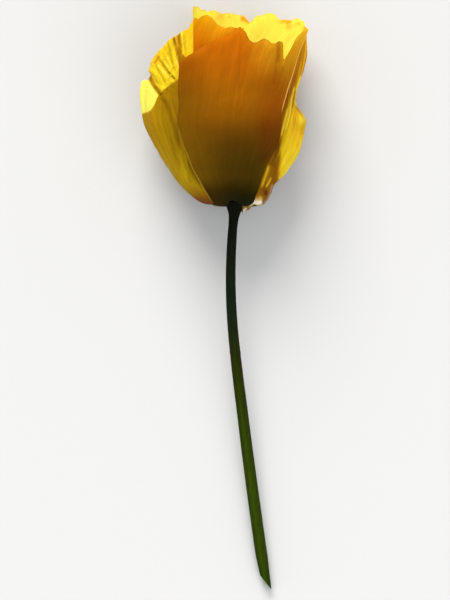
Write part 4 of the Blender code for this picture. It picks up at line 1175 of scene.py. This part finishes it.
def pistil_material():
    mat, tree, out = nodes_of("pistil skin")
    g = Graph(tree)
    co = g.node("ShaderNodeTexCoord").outputs["Object"]
    fuzz = g.noise(co, 3500.0, 3.0, 0.7)
    spots = g.noise(co, 1200.0, 2.0, 0.5)
    base = g.ramp(g.attr("h"), [(0.0, (0.16, 0.22, 0.035)), (0.45, (0.26, 0.34, 0.06)), (0.82, (0.34, 0.38, 0.08)),
                                (0.93, (0.52, 0.46, 0.12)), (1.0, (0.62, 0.55, 0.16))])
    # painted shade: darker in the ovary's grooves
    base = g.mix(g.math("MULTIPLY", g.attr("groove"), 0.6), base, (0.08, 0.13, 0.02))
    base = g.mix(1.0, base, g.span(spots, 0.3, 0.7, 0.85, 1.15), "MULTIPLY")
    b = g.node("ShaderNodeBump")
    b.inputs["Strength"].default_value = 0.6
    b.inputs["Distance"].default_value = 0.00008
    g.put(b.inputs["Height"], fuzz)
    p = g.node("ShaderNodeBsdfPrincipled")
    g.put(p.inputs["Base Color"], base)
    g.put(p.inputs["Roughness"], g.span(fuzz, 0.3, 0.7, 0.45, 0.7))
    p.inputs["Specular IOR Level"].default_value = 0.3
    g.put(p.inputs["Normal"], b.outputs["Normal"])
    tree.links.new(p.outputs["BSDF"], out.inputs["Surface"])
    return mat


finish_piece(pistil(), "pistil", pistil_material())


# ================================================================ stamens
STAMENS_INNER, STAMENS_OUTER = 12, 16
FILAMENT_R, ANTHER_R = 0.18, 0.46


def stamen(name, ang, foot, reach, top, anther_len, seed, material):
    t0 = RECEPTACLE_TOP + 0.05
    tf = RECEPTACLE_TOP + 0.3
    join = top - anther_len
    sides = 20
    low_rows = np.linspace(t0, join, 26)
    up_rows = join + anther_len * (0.5 - 0.5 * np.cos(np.pi * np.linspace(0, 1, 34)[1:]))
    ts = np.concatenate([low_rows, up_rows])
    q = np.clip((ts - tf) / (top - tf), 0, 1)
    rho = foot + (reach - foot) * (0.35 * q + 0.65 * q**1.7)
    twist = ang + 0.10 * np.sin(3.1 * ang + 1.0) * q**2
    path = place(rho, twist, ts, depth=1.0)
    w = np.clip((ts - join) / anther_len, 0, 1)
    thread = FILAMENT_R * (1.0 - 0.25 * smooth(ts, t0, join)) * (1 + 0.25 * (1 - smooth(ts, t0, t0 + 1.0)))
    sac = ANTHER_R * np.sin(np.pi * np.clip(0.06 + 0.90 * w, 0, 1)) ** 0.45
    rad = np.where(w <= 0, thread, thread * (1 - smooth(w, 0.0, 0.10)) + sac * smooth(w, 0.0, 0.10))
    tan = np.gradient(path, axis=0)
    tan /= np.linalg.norm(tan, axis=1, keepdims=True)
    outward = np.stack([np.cos(twist), np.zeros_like(twist), np.sin(twist)], -1)
    side = np.cross(tan, outward)
    side /= np.linalg.norm(side, axis=1, keepdims=True)
    face = np.cross(side, tan)
    a = np.linspace(0, 2 * math.pi, sides, endpoint=False)
    W, A = np.meshgrid(w, a, indexing="ij")
    inside = smooth(W, 0.02, 0.14)
    # two lobes with a furrow on both flat faces
    shape = 1 - inside * (0.34 * np.abs(np.sin(A)) ** 6 + 0.10 * np.abs(np.sin(A)))
    grain = 1 + inside * 0.05 * noise(A * 4 + seed, W * 16, seed) * (1 - smooth(W, 0.95, 1))
    R = rad[:, None] * shape * grain
    curl = inside * 0.12 * np.sin(2.2 * W + seed)
    P = (path[:, None, :] + (R * np.cos(A))[..., None] * side[:, None, :]
         + (R * np.sin(A))[..., None] * face[:, None, :] + curl[..., None] * face[:, None, :] * ANTHER_R)
    rows = len(ts)
    V = np.concatenate([P.reshape(-1, 3), path[:1], P[-1].mean(0)[None] + tan[-1] * 0.04])
    j, jn = np.arange(sides), (np.arange(sides) + 1) % sides
    n0 = rows * sides
    faces = [quads(rows, sides, 0, True, wrap=True),
             np.stack([np.full(sides, n0), j, jn], -1)[:, ::-1],
             np.stack([np.full(sides, n0 + 1), n0 - sides + jn, n0 - sides + j], -1)[:, ::-1]]
    sacs = np.concatenate([inside.ravel(), [0, 1]])
    furrow = np.concatenate([(inside * np.abs(np.sin(A)) ** 6).ravel(), [0, 0]])
    obj = make_mesh(name + "_form", V, faces, {"sac": sacs, "furrow": furrow}, None, 70)
    orient(obj)
    finish_piece(obj, name, material)


def stamen_material():
    mat, tree, out = nodes_of("stamen")
    g = Graph(tree)
    co = g.node("ShaderNodeTexCoord").outputs["Object"]
    grain = g.noise(co, 6000.0, 2.0, 0.7)
    patch = g.noise(co, 1500.0, 2.0, 0.5)
    sac = g.ramp(patch, [(0.30, (0.56, 0.24, 0.012)), (0.50, (0.74, 0.38, 0.020)), (0.70, (0.86, 0.52, 0.045))])
    sac = g.mix(1.0, sac, g.span(grain, 0.30, 0.70, 0.72, 1.15), "MULTIPLY")
    # painted shade: darker in the furrow between the lobes
    sac = g.mix(g.math("MULTIPLY", g.attr("furrow"), 0.7), sac, (0.30, 0.12, 0.008))
    thread = g.ramp(patch, [(0.3, (0.50, 0.46, 0.08)), (0.7, (0.64, 0.56, 0.12))])
    base = g.mix(g.attr("sac"), thread, sac)
    b = g.node("ShaderNodeBump")
    b.inputs["Strength"].default_value = 0.7
    b.inputs["Distance"].default_value = 0.00006
    g.put(b.inputs["Height"], grain)
    p = g.node("ShaderNodeBsdfPrincipled")
    g.put(p.inputs["Base Color"], base)
    g.put(p.inputs["Roughness"], g.span(grain, 0.3, 0.7, 0.70, 0.90))
    p.inputs["Specular IOR Level"].default_value = 0.2
    g.put(p.inputs["Normal"], b.outputs["Normal"])
    tree.links.new(p.outputs["BSDF"], out.inputs["Surface"])
    return mat


pollen = stamen_material()
count = 0
for k in range(STAMENS_INNER):
    count += 1
    stamen(f"stamen_{count:02d}", 2 * math.pi * (k + 0.5) / STAMENS_INNER, 1.22, 3.3 + 0.35 * math.sin(5.3 * k),
           13.2 + 0.8 * math.sin(2.4 * k + 0.7), 3.6, 100 + k, pollen)
for k in range(STAMENS_OUTER):
    count += 1
    stamen(f"stamen_{count:02d}", 2 * math.pi * k / STAMENS_OUTER, 1.88, 6.2 + 0.6 * math.sin(4.1 * k + 0.4),
           11.3 + 0.9 * math.sin(2.9 * k + 2.0), 3.4, 200 + k, pollen)
